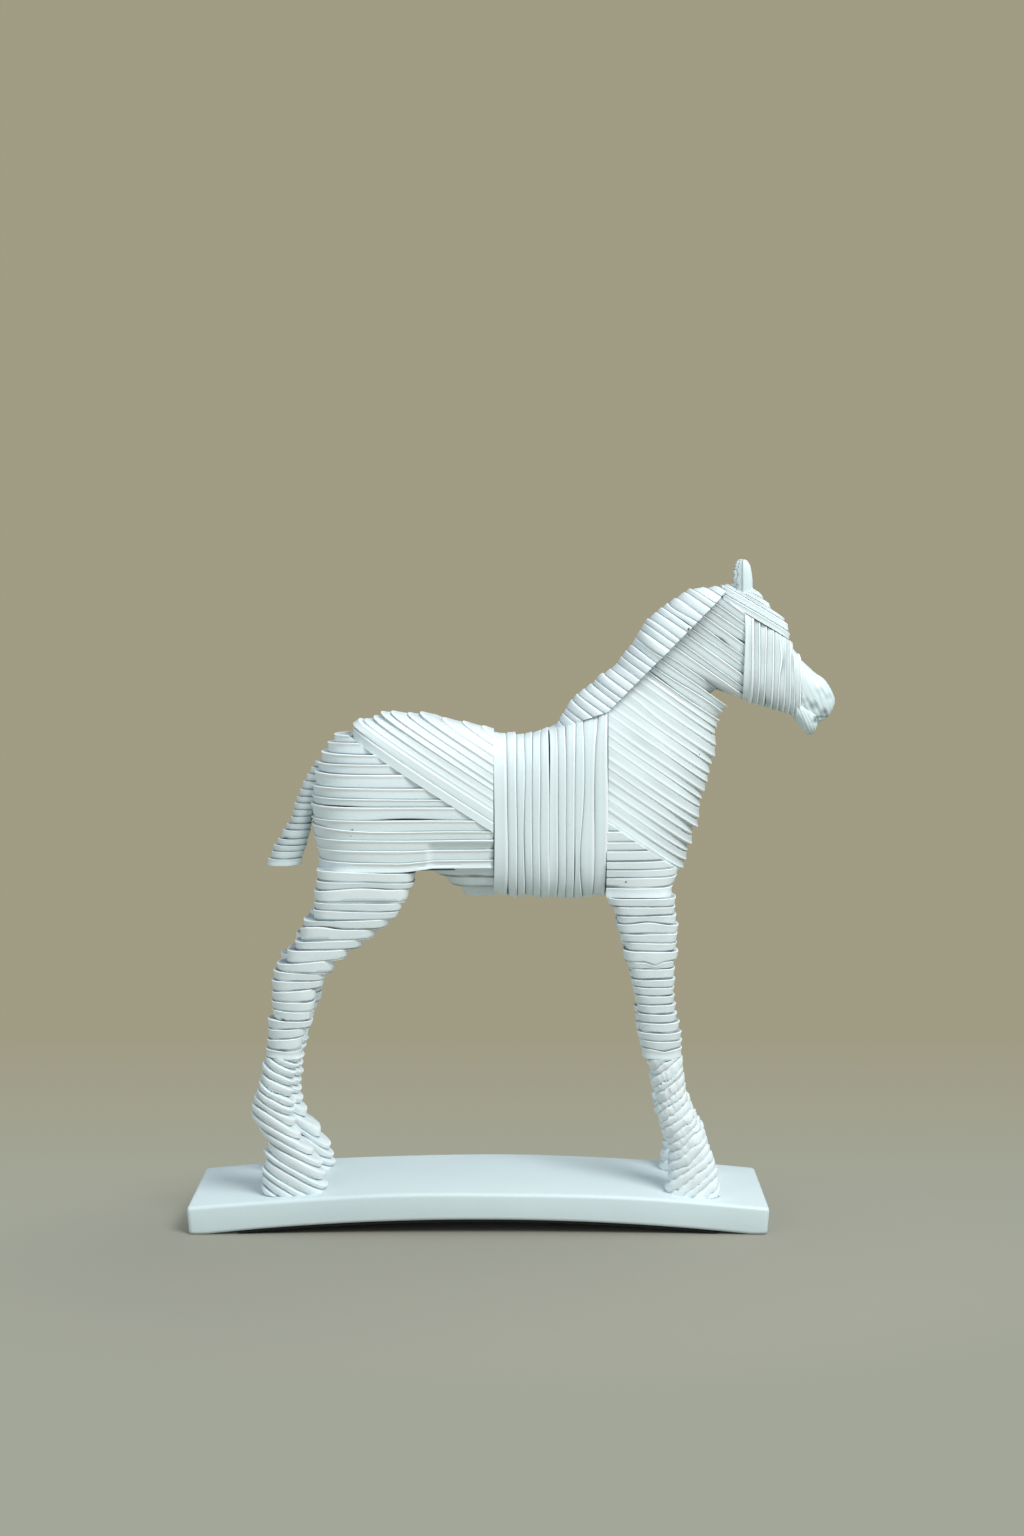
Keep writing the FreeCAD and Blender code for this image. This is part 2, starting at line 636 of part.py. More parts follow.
# Tail: level strips down a short slanting tail.
tail_back_shares = [(-1.0, 0.0), (-0.86, 0.133), (-0.76, 0.233), (-0.62, 0.317), (-0.48, 0.417),
                    (-0.38, 0.55), (-0.26, 0.70), (-0.14, 0.817), (0.0, 0.917), (0.1, 1.017)]
tail_front_shares = [(-0.28, 0.0), (-0.24, 0.083), (-0.12, 0.217), (-0.06, 0.35), (0.02, 0.483),
                     (0.24, 0.633), (0.48, 0.817), (0.64, 1.017)]
tail_width_shares = [(0.0, 1.0), (0.5, 0.9), (1.0, 0.72)]
tail = Zone(0, outline(rump_x, hip_level, tail_reach, tail_length, tail_back_shares),
            outline(rump_x, hip_level, tail_reach, tail_length, tail_front_shares),
            widths(tail_width, tail_width_shares), hip_level, hip_level + tail_length,
            oval_shares(leg_sides, 2.3))
tail_body = tail.strips(even_levels(tail.low, tail.high, tail_strips), 0.6).cut(haunch_body)

# Legs: level strips above, slanting ones below, round a carved core.
hind_back_shares = [(-0.309, -0.25), (-0.309, -0.036), (-0.322, 0.03), (-0.30, 0.068),
                    (-0.267, 0.101), (-0.28, 0.134), (-0.342, 0.167), (-0.40, 0.205),
                    (-0.418, 0.249), (-0.411, 0.277), (-0.336, 0.321), (-0.325, 0.359),
                    (-0.305, 0.392), (-0.264, 0.43), (-0.264, 0.474), (-0.242, 0.529),
                    (-0.222, 0.578), (-0.218, 0.644), (-0.20, 0.682), (-0.109, 0.715),
                    (-0.018, 0.748), (0.045, 0.775), (0.10, 0.808), (0.127, 0.841),
                    (0.218, 0.858), (0.227, 0.907), (0.255, 0.962), (0.245, 1.0), (0.245, 1.05)]
hind_front_shares = [(0.318, -0.25), (0.318, 0.0), (0.273, 0.052), (0.209, 0.096),
                     (0.118, 0.134), (0.027, 0.173), (-0.024, 0.216), (-0.036, 0.271),
                     (-0.027, 0.326), (0.009, 0.375), (0.064, 0.436), (0.118, 0.479),
                     (0.164, 0.523), (0.209, 0.567), (0.242, 0.616), (0.318, 0.66),
                     (0.382, 0.688), (0.455, 0.715), (0.564, 0.742), (0.673, 0.764),
                     (0.782, 0.786), (0.882, 0.814), (1.009, 0.841), (1.10, 0.868),
                     (1.127, 0.896), (1.182, 0.929), (1.245, 0.956), (1.273, 1.0), (1.273, 1.05)]
hind_width_shares = [(0.0, 0.76), (0.15, 0.66), (0.27, 0.69), (0.42, 0.59), (0.6, 0.62),
                     (0.7, 0.69), (0.85, 0.84), (1.0, 1.0)]
hind_stance_shares = [(0.0, 1.0), (0.6, 1.0), (0.7, 0.977), (0.85, 0.89), (1.0, 0.78)]
hind_core_shares = [-0.08, 0.11, 0.19, 0.28, 0.43, 0.70, 0.865, 1.0]
fore_back_shares = [(-0.486, -0.3), (-0.486, -0.075), (-0.473, 0.0), (-0.419, 0.057),
                    (-0.419, 0.116), (-0.459, 0.152), (-0.527, 0.182), (-0.581, 0.212),
                    (-0.608, 0.248), (-0.608, 0.284), (-0.649, 0.331), (-0.689, 0.379),
                    (-0.716, 0.415), (-0.784, 0.451), (-0.865, 0.481), (-0.892, 0.522),
                    (-0.905, 0.582), (-0.919, 0.63), (-0.973, 0.666), (-1.014, 0.707),
                    (-1.054, 0.749), (-1.122, 0.797), (-1.149, 0.839), (-1.23, 0.875),
                    (-1.23, 0.916), (-1.297, 0.958), (-1.378, 0.994), (-1.392, 1.05)]
fore_front_shares = [(0.365, -0.3), (0.365, 0.0), (0.311, 0.045), (0.257, 0.093),
                     (0.203, 0.134), (0.095, 0.176), (0.027, 0.212), (-0.041, 0.248),
                     (-0.122, 0.29), (-0.176, 0.325), (-0.203, 0.367), (-0.23, 0.409),
                     (-0.257, 0.451), (-0.262, 0.499), (-0.289, 0.54), (-0.33, 0.588),
                     (-0.357, 0.63), (-0.37, 0.678), (-0.378, 0.761), (-0.351, 0.803),
                     (-0.351, 0.845), (-0.386, 0.881), (-0.351, 0.922), (-0.373, 0.964),
                     (-0.397, 1.0), (-0.397, 1.05)]
fore_width_shares = [(0.0, 0.92), (0.15, 0.75), (0.3, 0.70), (0.45, 0.70), (0.69, 0.79),
                     (0.87, 0.88), (1.0, 0.98)]
fore_stance_shares = [(0.0, 1.0), (0.5, 1.0), (0.7, 0.97), (0.87, 0.91), (1.0, 0.84)]
pastern_place_shares = (-0.34, 0.08)
fetlock_place_shares = (0.38, -0.86)
sole_drop_share = 0.6
fore_core_shares = [-0.08, 0.15, 0.32, 0.55, 0.78, 1.0]


# A leg of the right side. The left one is its mirror image.
class Leg:
    def __init__(self, foot_x, height, length, width, back_shares, front_shares, width_shares,
                 stance_shares, sides):
        self.top = crown + height
        self.back = outline(foot_x, crown, length, height, back_shares)
        self.front = outline(foot_x, crown, length, height, front_shares)
        self.widths = widths(width, width_shares)
        self.stance = [(share, -half_stance * size) for share, size in stance_shares]
        self.zone = Zone(0, self.back, self.front, self.widths, crown, self.top,
                         oval_shares(sides, 2.3), self.stance,
                         high_shares=oval_shares(sides, 4.0))

    def upper(self, seam, count, follow_share):
        return self.zone.strips(even_levels(seam, self.top, count), follow_share)

    # Slanting strips from the plinth up to the seam.
    def lower(self, seam, tilt, count, corner_low, corner_high, follow_share):
        seam_share = (seam - crown) / (self.top - crown)
        spread = [(share / seam_share, half) for share, half in self.widths]
        places = [(share / seam_share, y) for share, y in self.stance]
        zone = Zone(tilt, self.back, self.front, spread, level_of(corner_low, tilt),
                    level_of(corner_high, tilt), oval_shares(leg_sides, 2.3), places)
        body = zone.strips(even_levels(zone.low, zone.high, count), follow_share)
        return body.cut([block_above((flank_x, seam), 0), ground])

    def core(self, ring_shares):
        levels = share_levels(crown, self.top, ring_shares)
        section_shares = oval_shares(leg_core_sides, 2.0)
        return self.zone.core(levels, leg_strip_wall, section_shares).cut(ground)


hind_leg = Leg(hind_foot_x, leg_height, thigh_length, thigh_width, hind_back_shares,
               hind_front_shares, hind_width_shares, hind_stance_shares, leg_sides)
fore_leg = Leg(fore_foot_x, leg_height - elbow_drop, forearm_length, forearm_width, fore_back_shares,
               fore_front_shares, fore_width_shares, fore_stance_shares, leg_sides)


# Carved core blocks inside the strips.
block_shares = oval_shares(core_sides, 2.2)
haunch_levels = share_levels(haunch.low, haunch.high, haunch_core_shares)
haunch_core = haunch.core(haunch_levels, strip_wall, mirrored_shares(haunch_core_plan_shares))
croup_levels = share_levels(croup.low, croup.high, croup_core_shares)
croup_core = croup.core(croup_levels, strip_wall, block_shares)
rump_core = fuse([haunch_core.cut([border_plane, ahead_of_flank]), croup_core.cut(ahead_of_flank)])
barrel_levels = share_levels(barrel.low, barrel.high, barrel_core_shares)
barrel_core = barrel.core(barrel_levels, strip_wall, block_shares)
brisket_core = brisket.core([brisket.low, brisket.high], strip_wall,
                            mirrored_shares(brisket_core_plan_shares))
brisket_core = brisket_core.cut(strap_plane).common(ahead_of_shoulder)
neck_levels = share_levels(neck.low, neck.high, neck_core_shares)
neck_core = neck.core(neck_levels, strip_wall, block_shares)
neck_core = neck_core.cut([brow_plane, ahead_of_cheek]).common(ahead_of_shoulder)
neck_core = fuse([neck_core, brisket_core])
head_core = cheek.core([cheek.low, (cheek.low + cheek.high) / 2, cheek.high], strip_wall,
                       block_shares)
head_core = head_core.cut(brow_plane)

# Straight dowels join the blocks; a wire carries the tail.
spine_height_share = 0.667
spine_front_share = 0.7
nape_height_share = 0.38
hip_place_shares = (0.68, 0.78)
elbow_place_shares = (0.88, 0.82)
wire_reach_share = 0.33
wire_height_shares = (0.22, 0.92)
spine_level = belly_level + barrel_height * spine_height_share
nape_level = jaw_level + head_height * nape_height_share
spine = (Vector(rump_x + haunch_length / 2, 0, spine_level),
         Vector(shoulder_x + brisket_length * spine_front_share, 0, spine_level))
nape = (Vector(cheek_x - dowel_grip, 0, nape_level), Vector(cheek_x + dowel_grip, 0, nape_level))
hip_pins, elbow_pins = [], []
for side in (-1, 1):
    hip = Vector(hind_foot_x + thigh_length * hip_place_shares[0],
                 side * half_stance * hip_place_shares[1], hip_level)
    elbow = Vector(fore_foot_x - forearm_length * elbow_place_shares[0],
                   side * half_stance * elbow_place_shares[1], elbow_level)
    reach = Vector(0, 0, dowel_grip)
    hip_pins.append((hip - reach, hip + reach))
    elbow_pins.append((elbow - reach, elbow + reach))
wire = (Vector(rump_x - tail_reach * wire_reach_share, 0,
               hip_level + tail_length * wire_height_shares[0]),
        Vector(rump_x + tail_reach * wire_reach_share, 0,
               hip_level + tail_length * wire_height_shares[1]))


wire_bore = bores([wire], tail_wire_diameter)
nodes["spine_dowel"] = rods([spine], dowel_diameter)[0]
nodes["head_dowel"] = rods([nape], dowel_diameter)[0]
nodes["leg_dowels"] = Part.makeCompound(rods(hip_pins + elbow_pins, dowel_diameter))
nodes["tail_wire"] = rods([wire], tail_wire_diameter)[0]
nodes["rump_core"] = rump_core.cut(bores([spine] + hip_pins, dowel_diameter) + wire_bore)
nodes["barrel_core"] = barrel_core.cut(bores([spine], dowel_diameter))
nodes["neck_core"] = neck_core.cut(bores([spine, nape] + elbow_pins, dowel_diameter))
nodes["head_core"] = head_core.cut(bores([nape], dowel_diameter))

nodes["haunch_wrap"] = haunch_body.cut([rump_core] + wire_bore)
nodes["croup_wrap"] = croup_body.cut(rump_core)
nodes["belly_wrap"] = belly_body
nodes["barrel_wrap"] = barrel_body.cut(barrel_core)
nodes["brisket_wrap"] = brisket_body.cut(neck_core)
nodes["neck_wrap"] = neck_body.cut(neck_core)
nodes["mane_wrap"] = mane_body.cut([neck_core, barrel_core])
nodes["cheek_wrap"] = cheek_body.cut(head_core)
nodes["brow_wrap"] = brow_body
nodes["muzzle"] = muzzle_body
nodes["tail_wrap"] = tail_body.cut(wire_bore)

seam = crown + seam_height
sole_level = crown - plinth_thickness * sole_drop_share
hind_core = hind_leg.core(hind_core_shares)
hind_upper = hind_leg.upper(seam, thigh_strips, 0.25)
hind_lower = hind_leg.lower(seam, pastern_tilt, pastern_strips,
                            (hind_foot_x + thigh_length * pastern_place_shares[0], sole_level),
                            (hind_foot_x + thigh_length * pastern_place_shares[1], seam), 0.45)
fore_core = fore_leg.core(fore_core_shares)
fore_upper = fore_leg.upper(seam, forearm_strips, 0.5)
fore_lower = fore_leg.lower(seam, fetlock_tilt, fetlock_strips,
                            (fore_foot_x + forearm_length * fetlock_place_shares[0], sole_level),
                            (fore_foot_x + forearm_length * fetlock_place_shares[1], seam), 0.65)
right_pieces = {
    "hind_leg_core": hind_core.cut(bores(hip_pins, dowel_diameter) + peg_bores),
    "hind_upper_wrap": hind_upper.cut(hind_core),
    "hind_lower_wrap": hind_lower.cut(hind_core),
    "fore_leg_core": fore_core.cut(bores(elbow_pins, dowel_diameter) + peg_bores),
    "fore_upper_wrap": fore_upper.cut(fore_core),
    "fore_lower_wrap": fore_lower.cut(fore_core),
    "ear": ear(),
}
for name, shape in right_pieces.items():
    nodes[name + "_right"] = shape
    nodes[name + "_left"] = shape.mirror(Vector(0, 0, 0), Vector(0, 1, 0))

for name, shape in nodes.items():
    shape.exportStep("parts/" + name + ".step")
    print(name, len(shape.Solids), "solids", round(shape.Volume), "mm3", len(shape.Faces), "faces")
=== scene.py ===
import math
from dataclasses import dataclass

import bmesh
import bpy
import numpy as np
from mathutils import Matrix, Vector


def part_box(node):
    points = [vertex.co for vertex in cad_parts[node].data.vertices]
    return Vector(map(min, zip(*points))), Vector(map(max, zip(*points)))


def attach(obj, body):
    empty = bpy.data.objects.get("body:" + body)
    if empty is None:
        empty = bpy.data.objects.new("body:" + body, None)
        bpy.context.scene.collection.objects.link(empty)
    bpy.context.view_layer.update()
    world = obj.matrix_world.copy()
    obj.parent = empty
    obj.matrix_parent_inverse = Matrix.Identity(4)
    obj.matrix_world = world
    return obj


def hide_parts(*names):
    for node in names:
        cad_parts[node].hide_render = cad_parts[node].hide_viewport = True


# Looks of the strip-wound foal. Sizes are in millimetres and the meshes are made in metres.
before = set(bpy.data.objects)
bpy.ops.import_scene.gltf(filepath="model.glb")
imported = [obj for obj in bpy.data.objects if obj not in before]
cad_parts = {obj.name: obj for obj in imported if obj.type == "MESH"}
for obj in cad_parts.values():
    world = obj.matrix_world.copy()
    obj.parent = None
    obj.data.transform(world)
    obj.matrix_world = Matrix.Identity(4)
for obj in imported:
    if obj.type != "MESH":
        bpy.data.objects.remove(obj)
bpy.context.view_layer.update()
metre = 0.001

# Camera, in metres and degrees
camera_place = (-0.00016, -1.2139, 0.3985)
camera_pitch = 6.386
camera_lens = 50
camera_sensor = 36

# Sizes of the figure, as in the part
leg_height = 182.5
elbow_drop = 15.0
stance_width = 44.0
barrel_height = 94.5
barrel_width = 60.0
belly_drop = 17.5
belly_width = 50.0
haunch_length = 104.0
haunch_height = 78.0
haunch_width = 66.0
croup_length = 81.0
croup_height = 66.0
croup_width = 58.0
croup_drop = 55.0
croup_tilt = 33.0
brisket_length = 41.0
brisket_width = 57.0
strap_drop = 49.0
hind_foot_setback = 114.0
fore_foot_reach = 52.0
thigh_length = 55.0
thigh_width = 29.0
forearm_length = 37.0
forearm_width = 24.0
seam_height = 75.5
pastern_tilt = 31.0
fetlock_tilt = -38.0
neck_reach = 77.0
neck_height = 162.0
neck_width = 57.0
neck_tilt = 35.0
chest_lift = 12.0
mane_proud = 1.1
mane_tilt = 45.6
withers_tilt = 20.0
mane_foot_drop = 69.0
poll_setback = 12.0
withers_reach = 30.0
head_length = 53.0
head_height = 63.0
head_width = 30.0
cheek_length = 33.0
brow_tilt = 30.5
brow_width = 27.0
brow_drop = 14.1
brow_height = 14.1
muzzle_width = 18.6
ear_height = 19.5
ear_breadth = 10.5
ear_depth = 6.5
ear_spacing = 15.0
ear_sink = 4.0
tail_length_share = 0.77
tail_reach = 27.0
tail_width = 16.0

# Plinth
plinth_thickness = 16.0
plinth_edge = 2.2
rest_land_width = 9.0
surface_ripple = 0.25
ripple_length_x = 21.0
ripple_width_y = 17.0
slab_slices = 90
slab_slices_share = 0.98
edge_steps = 6

# Strips: how deep they reach in, how far their lips stand out, and how many a zone has
strip_depth = 2.6
leg_strip_depth = 6.0
deep_strip_depth = 11.0
neck_strip_depth = 7.6
lip = 0.62
foot_lift = 0.5
foot_rise = 0.3
pleat_stray = 0.08
haunch_strips = 13
belly_strips = 3
croup_strips = 11
brisket_strips = 8
neck_strips = 29
neck_soft_strips = 16
mane_strips = 27
thigh_strips = 19
pastern_shown_strips = 18
forearm_strips = 18
fetlock_shown_strips = 21
tail_strips = 15

# Unevenness of a strip, in shares of its width, of the way round it or of its full painted shade in the
# grooves
pinch_size = 0.35
pinch_breadths = (0.04, 0.12)
parting_size = 0.11
parting_breadths = (0.02, 0.06)
shade_mean = 0.6
shade_wander = 0.5
parting_shade = 0.6
shade_limits = (0.1, 1.2)
whole_stray = 0.6
local_stray = 0.5
rag_lift = 4
edge_waves = 4
rough_waves = 30
shade_waves = 7
stray_waves = 3
rag_waves = 36

# Points round each zone's section. For an oval, its fullness and its length over its width follow.
section_density = 40
corner_cut = 0.25
ear_corner_cut = 0.2
haunch_points = 190
belly_points = 90
brisket_points = 130
croup_oval = (220, 3.0, 3.0)
barrel_oval = (150, 3.4, 1.6)
neck_oval = (150, 2.4, 1.8)
cheek_oval = (110, 2.6, 1.9)
brow_oval = (110, 2.4, 1.6)
tail_oval = (60, 2.3, 1.2)
leg_oval = (64, 2.3, 1.3)
leg_top_oval = (64, 4.0, 1.3)


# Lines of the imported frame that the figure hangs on
def corners(node):
    low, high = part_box(node)
    return np.array(low) / metre, np.array(high) / metre


plinth_low, plinth_high = corners("plinth")
crown = plinth_high[2]
hip_level = corners("haunch_wrap")[0][2]
elbow_level = hip_level - elbow_drop
flank_x = corners("haunch_wrap")[1][0]
shoulder_x = corners("brisket_wrap")[0][0]
plinth_length = plinth_high[0] - plinth_low[0]
plinth_centre_x = (plinth_low[0] + plinth_high[0]) / 2
belly_level = hip_level - belly_drop
back_level = belly_level + barrel_height
rump_x = flank_x - haunch_length
hind_foot_x = flank_x - hind_foot_setback
fore_foot_x = shoulder_x + fore_foot_reach
cheek_x = shoulder_x + neck_reach
muzzle_x = cheek_x + cheek_length
chest_level = elbow_level + chest_lift
poll_level = chest_level + neck_height
jaw_level = poll_level - head_height
croup_border_z = back_level - croup_drop
strap_z = back_level - strap_drop
seam = crown + seam_height
half_stance = stance_width / 2
tail_length = haunch_height * tail_length_share


# Plain numerical helpers
def outlines(corner_x, corner_z, length, height, *share_lists):
    corner, size = np.array((corner_x, corner_z)), np.array((length, height))
    return [corner + size * np.array(shares) for shares in share_lists]


def along(tilt):
    angle = math.radians(tilt)
    return np.array((math.cos(angle), 0.0, -math.sin(angle)))


def normal(tilt):
    angle = math.radians(tilt)
    return np.array((math.sin(angle), 0.0, math.cos(angle)))


def level_of(point, tilt):
    return point[0] * normal(tilt)[0] + point[1] * normal(tilt)[2]


def table(shares, value):
    places, sizes = zip(*shares)
    return np.interp(value, places, sizes)


def crossing(points, tilt, level):
    levels = points[:, 0] * normal(tilt)[0] + points[:, 1] * normal(tilt)[2]
    reaches = points[:, 0] * along(tilt)[0] + points[:, 1] * along(tilt)[2]
    return np.interp(level, np.maximum.accumulate(levels), reaches)


def even_samples(points, count):
    closed = np.vstack((points, points[:1]))
    steps = np.linalg.norm(np.diff(closed, axis=0), axis=1)
    run = np.concatenate(((0.0,), np.cumsum(steps)))
    places = np.linspace(0.0, run[-1], count, endpoint=False)
    return np.column_stack([np.interp(places, run, closed[:, k]) for k in range(2)])


def oval_section(count, fullness, aspect):
    angle = np.linspace(0.0, 2 * math.pi, section_density * count, endpoint=False)
    c, s = np.cos(angle), np.sin(angle)
    power = 2 / fullness
    dense = np.column_stack((np.sign(c) * np.abs(c) ** power * aspect,
                             np.sign(s) * np.abs(s) ** power))
    samples = even_samples(dense, count)
    samples[:, 0] /= aspect
    return samples


# Closed line whose corners are cut twice, each time by a share of both sides.
def cut_corners(points, share):
    for _ in range(2):
        after = np.roll(points, -1, axis=0)
        points = np.stack((points * (1 - share) + after * share,
                           points * share + after * (1 - share)), axis=1).reshape(-1, 2)
    return points


# Section drawn from back to front on one side and mirrored, with its corners cut round.
def mirrored_section(count, side_shares, aspect):
    right = [((2 * a - 1) * aspect, -b) for a, b in side_shares]
    left = [((2 * a - 1) * aspect, b) for a, b in reversed(side_shares)]
    samples = even_samples(cut_corners(np.array(right + left), corner_cut), count)
    samples[:, 0] /= aspect
    return samples


# Smooth random line round a section, between about -1 and 1.
def wander(rng, count, waves):
    turn = np.linspace(0.0, 2 * math.pi, count, endpoint=False)
    line = np.zeros(count)
    for k in range(1, waves + 1):
        line += rng.normal() * np.cos(k * turn + rng.uniform(0, 2 * math.pi)) / math.sqrt(k)
    return line / (np.abs(line).max() + 1e-6)


# Cross-section of one strip. Each row has its height as a share of the strip's width, how far out it lies
# as a share of the lip, and its painted light: painted shade in a groove above zero, painted highlight on
# a bright rim below zero.
# The function adds how deep a row lies, as a share of the strip's depth, and two rows at full depth.
def make_profile(rows, deep_top, deep_foot, foot_sink=0.3, top_sink=0.05):
    sinks = [foot_sink] + [0] * (len(rows) - 2) + [top_sink]
    face = [(rise, lift, sink, painted_light_level) for (rise, lift, painted_light_level), sink in zip(rows, sinks)]
    return face + [(deep_top, -1, 1, 1), (deep_foot, -1, 1, 1)]


cup_profile = make_profile([
    (-0.06, -1, 1), (0, -1, 0.9), (0.04, -0.85, 0.6), (0.11, -0.6, 0.1), (0.35, -0.3, -0.1),
    (0.62, 0.05, -0.3), (0.78, 0.35, -0.5), (0.86, 0.9, -0.9), (0.95, 1, -1), (1, 0.65, -0.6),
    (1, -0.2, 0.6), (0.96, -0.7, 1)], 0.9, -0.04)
flat_profile = make_profile([
    (-0.06, -1, 1), (0, -1, 1), (0.13, -0.9, 1), (0.18, -0.2, 0.2), (0.4, 0.2, -0.1), (0.72, 0.45, -0.3),
    (0.88, 0.8, -0.6), (0.94, 0.9, -0.8), (0.98, 0.6, 0), (1, -0.2, 0.9), (0.96, -0.8, 1)], 0.9, -0.04)
pleat_profile = make_profile([
    (-0.04, -1.1, 0.24), (0, -0.8, 0.24), (0.1, -0.5, 0.22), (0.2, 0.2, 0.1), (0.28, 0.85, -0.6),
    (0.34, 1, -1), (0.41, 0.85, -0.5), (0.5, 0.45, 0.12), (0.65, 0, 0.22), (0.82, -0.45, 0.26),
    (0.93, -0.7, 0.26), (1, -0.8, 0.24), (1.06, -1.1, 0.24)], 0.95, 0, 0, 0)
cord_profile = make_profile([
    (-0.04, -1, 1), (0, -0.95, 0.8), (0.06, -0.3, 0.25), (0.18, 0.35, 0), (0.45, 0.55, 0),
    (0.74, 0.78, 0), (0.86, 1, -0.6), (0.93, 0.85, -0.6), (0.98, 0.1, 0.2), (1, -0.6, 0.9)], 0.94, -0.02)
strap_profile = make_profile([
    (-0.04, -1, 0.8), (0, -0.9, 0.7), (0.06, -0.2, 0.42), (0.2, 0.1, 0.44), (0.5, 0.25, 0.42),
    (0.7, 0.4, 0.38), (0.78, 1, -1), (0.93, 1, -1), (0.98, 0.3, 0.3), (1, -0.6, 0.6)], 0.94, -0.02)
plank_profile = make_profile([
    (-0.04, -1, 1), (0, -0.85, 0.8), (0.09, -0.7, 0.6), (0.16, 0.1, 0.1), (0.22, 0.45, -0.2),
    (0.5, 0.72, -0.3), (0.76, 1, -0.7), (0.84, 0.95, -0.6), (0.92, -0.3, 0.4), (1, -1, 1)], 0.94, -0.02)
mane_profile = make_profile([
    (-0.04, -1, 1), (0, -0.95, 0.9), (0.06, -0.5, 0.4), (0.14, 0.3, 0), (0.3, 0.7, 0), (0.6, 0.8, -0.1),
    (0.8, 0.95, -0.6), (0.9, 0.8, -0.7), (0.97, 0.1, 0.1), (1, -0.7, 0.8)], 0.94, -0.02)


# Room that strips are wound round: two outlines in the side view, half widths from low to high,
# and a section that can change on the way up. Its level lines lean by the tilt.
@dataclass
class Zone:
    tilt: float
    back: np.ndarray
    front: np.ndarray
    widths: list
    low: float
    high: float
    section: np.ndarray
    centre_y: tuple = ((0, 0),)
    proud: tuple = ((0, 0),)
    follow: float = 0.5
    lip_size: float = lip
    high_section: np.ndarray = None
    shape: object = None
    end_swells: tuple = (1.0, 1.0)
    depth: float = strip_depth
    change: tuple = ((0.55, 0.0), (0.9, 1.0))

    def place(self, level, out, at_level):
        share = (level - self.low) / (self.high - self.low)
        start = crossing(self.back, self.tilt, level) - out * self.end_swells[0]
        end = crossing(self.front, self.tilt, level) + out * self.end_swells[1]
        half = table(self.widths, share) + table(self.proud, share) + out
        high_section = self.section if self.high_section is None else self.high_section
        turn = table(self.change, share)
        along_section = self.section[:, 0] * (1 - turn) + high_section[:, 0] * turn
        across_section = self.section[:, 1] * (1 - turn) + high_section[:, 1] * turn
        reach = (start + end) / 2 + (end - start) / 2 * along_section
        points = np.outer(at_level, normal(self.tilt)) + np.outer(reach, along(self.tilt))
        points[:, 1] += table(self.centre_y, share) + half * across_section
        if self.shape:
            self.shape(points)
        return points


# One smooth hump somewhere round a section, 1 high.
def swell(rng, turn, narrow, broad):
    gap = np.abs((turn - rng.random() + 0.5) % 1.0 - 0.5)
    return np.exp(-(gap / rng.uniform(narrow, broad)) ** 2)


def bridge(bm, lower, upper):
    for k in range(len(lower)):
        after = (k + 1) % len(lower)
        bm.faces.new((lower[k], lower[after], upper[after], upper[k]))


# One ribbon ring after another, each with uneven edges and its own stand-off.
def wind(bm, zone, levels, rng, profile=flat_profile, wave=0.04, stray=0.22, rough=0.0, pinch=0.12,
         part=0.3, dirt=1.0, sway=0.0, fray=0.0):
    count = len(zone.section)
    turn = np.linspace(0.0, 1.0, count, endpoint=False)
    ends = np.cos(2 * math.pi * turn)
    painted_light = bm.verts.layers.float["painted_light"]
    pitch = np.diff(levels)
    edges = []
    for k, level in enumerate(levels):
        size = pitch[min(k, len(pitch) - 1)]
        line = level + size * wave * wander(rng, count, edge_waves)
        line += size * sway * rng.normal() * ends
        if 0 < k < len(levels) - 1 and rng.random() < pinch:
            line += rng.choice((-1, 1)) * size * pinch_size * swell(rng, turn, *pinch_breadths)
        edges.append(line + size * rough * wander(rng, count, rough_waves))
    for number, (bottom, top) in enumerate(zip(edges, edges[1:])):
        parted = rng.random() < part
        hump = swell(rng, turn, *parting_breadths) if parted else np.zeros(count)
        bottom = bottom + (top - bottom) * parting_size * hump
        height = top - bottom
        middle = (bottom + top) / 2
        # Painted shade for this strip's grooves, uneven round it and darker at a parting.
        painted_shade = shade_mean + shade_wander * wander(rng, count, shade_waves) + parting_shade * hump
        painted_shade = np.clip(painted_shade, *shade_limits) * dirt
        stand = stray * (rng.normal() * whole_stray + local_stray * wander(rng, count, stray_waves))
        stand = stand + fray * (rng.normal() * np.clip(ends, 0, 1) ** 3
                                + rng.normal() * np.clip(-ends, 0, 1) ** 3)
        ragged = rag_lift * rough * wander(rng, count, rag_waves)
        rings = []
        for rise, lift, sink, painted_light_level in profile:
            on_face = sink < 0.5
            if number == 0 and rise < foot_rise and on_face:
                lift, painted_light_level = foot_lift, 0.0
            at_level = bottom + height * rise
            level = middle + (at_level - middle) * zone.follow
            out = zone.lip_size * lift - zone.depth * sink
            if on_face:
                out = out + stand * (1 - sink) + ragged * max(lift, 0.0)
            points = zone.place(level, out, at_level) * metre
            ring = [bm.verts.new(point) for point in points]
            # Sheltered rows get painted shade, rim rows a painted highlight.
            for vert, amount in zip(ring, painted_shade):
                vert[painted_light] = painted_light_level * amount if painted_light_level > 0 else painted_light_level
            rings.append(ring)
        for lower, upper in zip(rings, rings[1:] + rings[:1]):
            bridge(bm, lower, upper)


cap_inset = 1.0
cap_drop = 0.5


# Closes the hollow inside the topmost strip of a zone, back from a given place.
def cap(bm, zone, level, front_x):
    rim = zone.place(level, -cap_inset, np.full(len(zone.section), level - cap_drop))
    rim[:, 0] = np.minimum(rim[:, 0], front_x)
    bm.faces.new([bm.verts.new(point * metre) for point in rim])


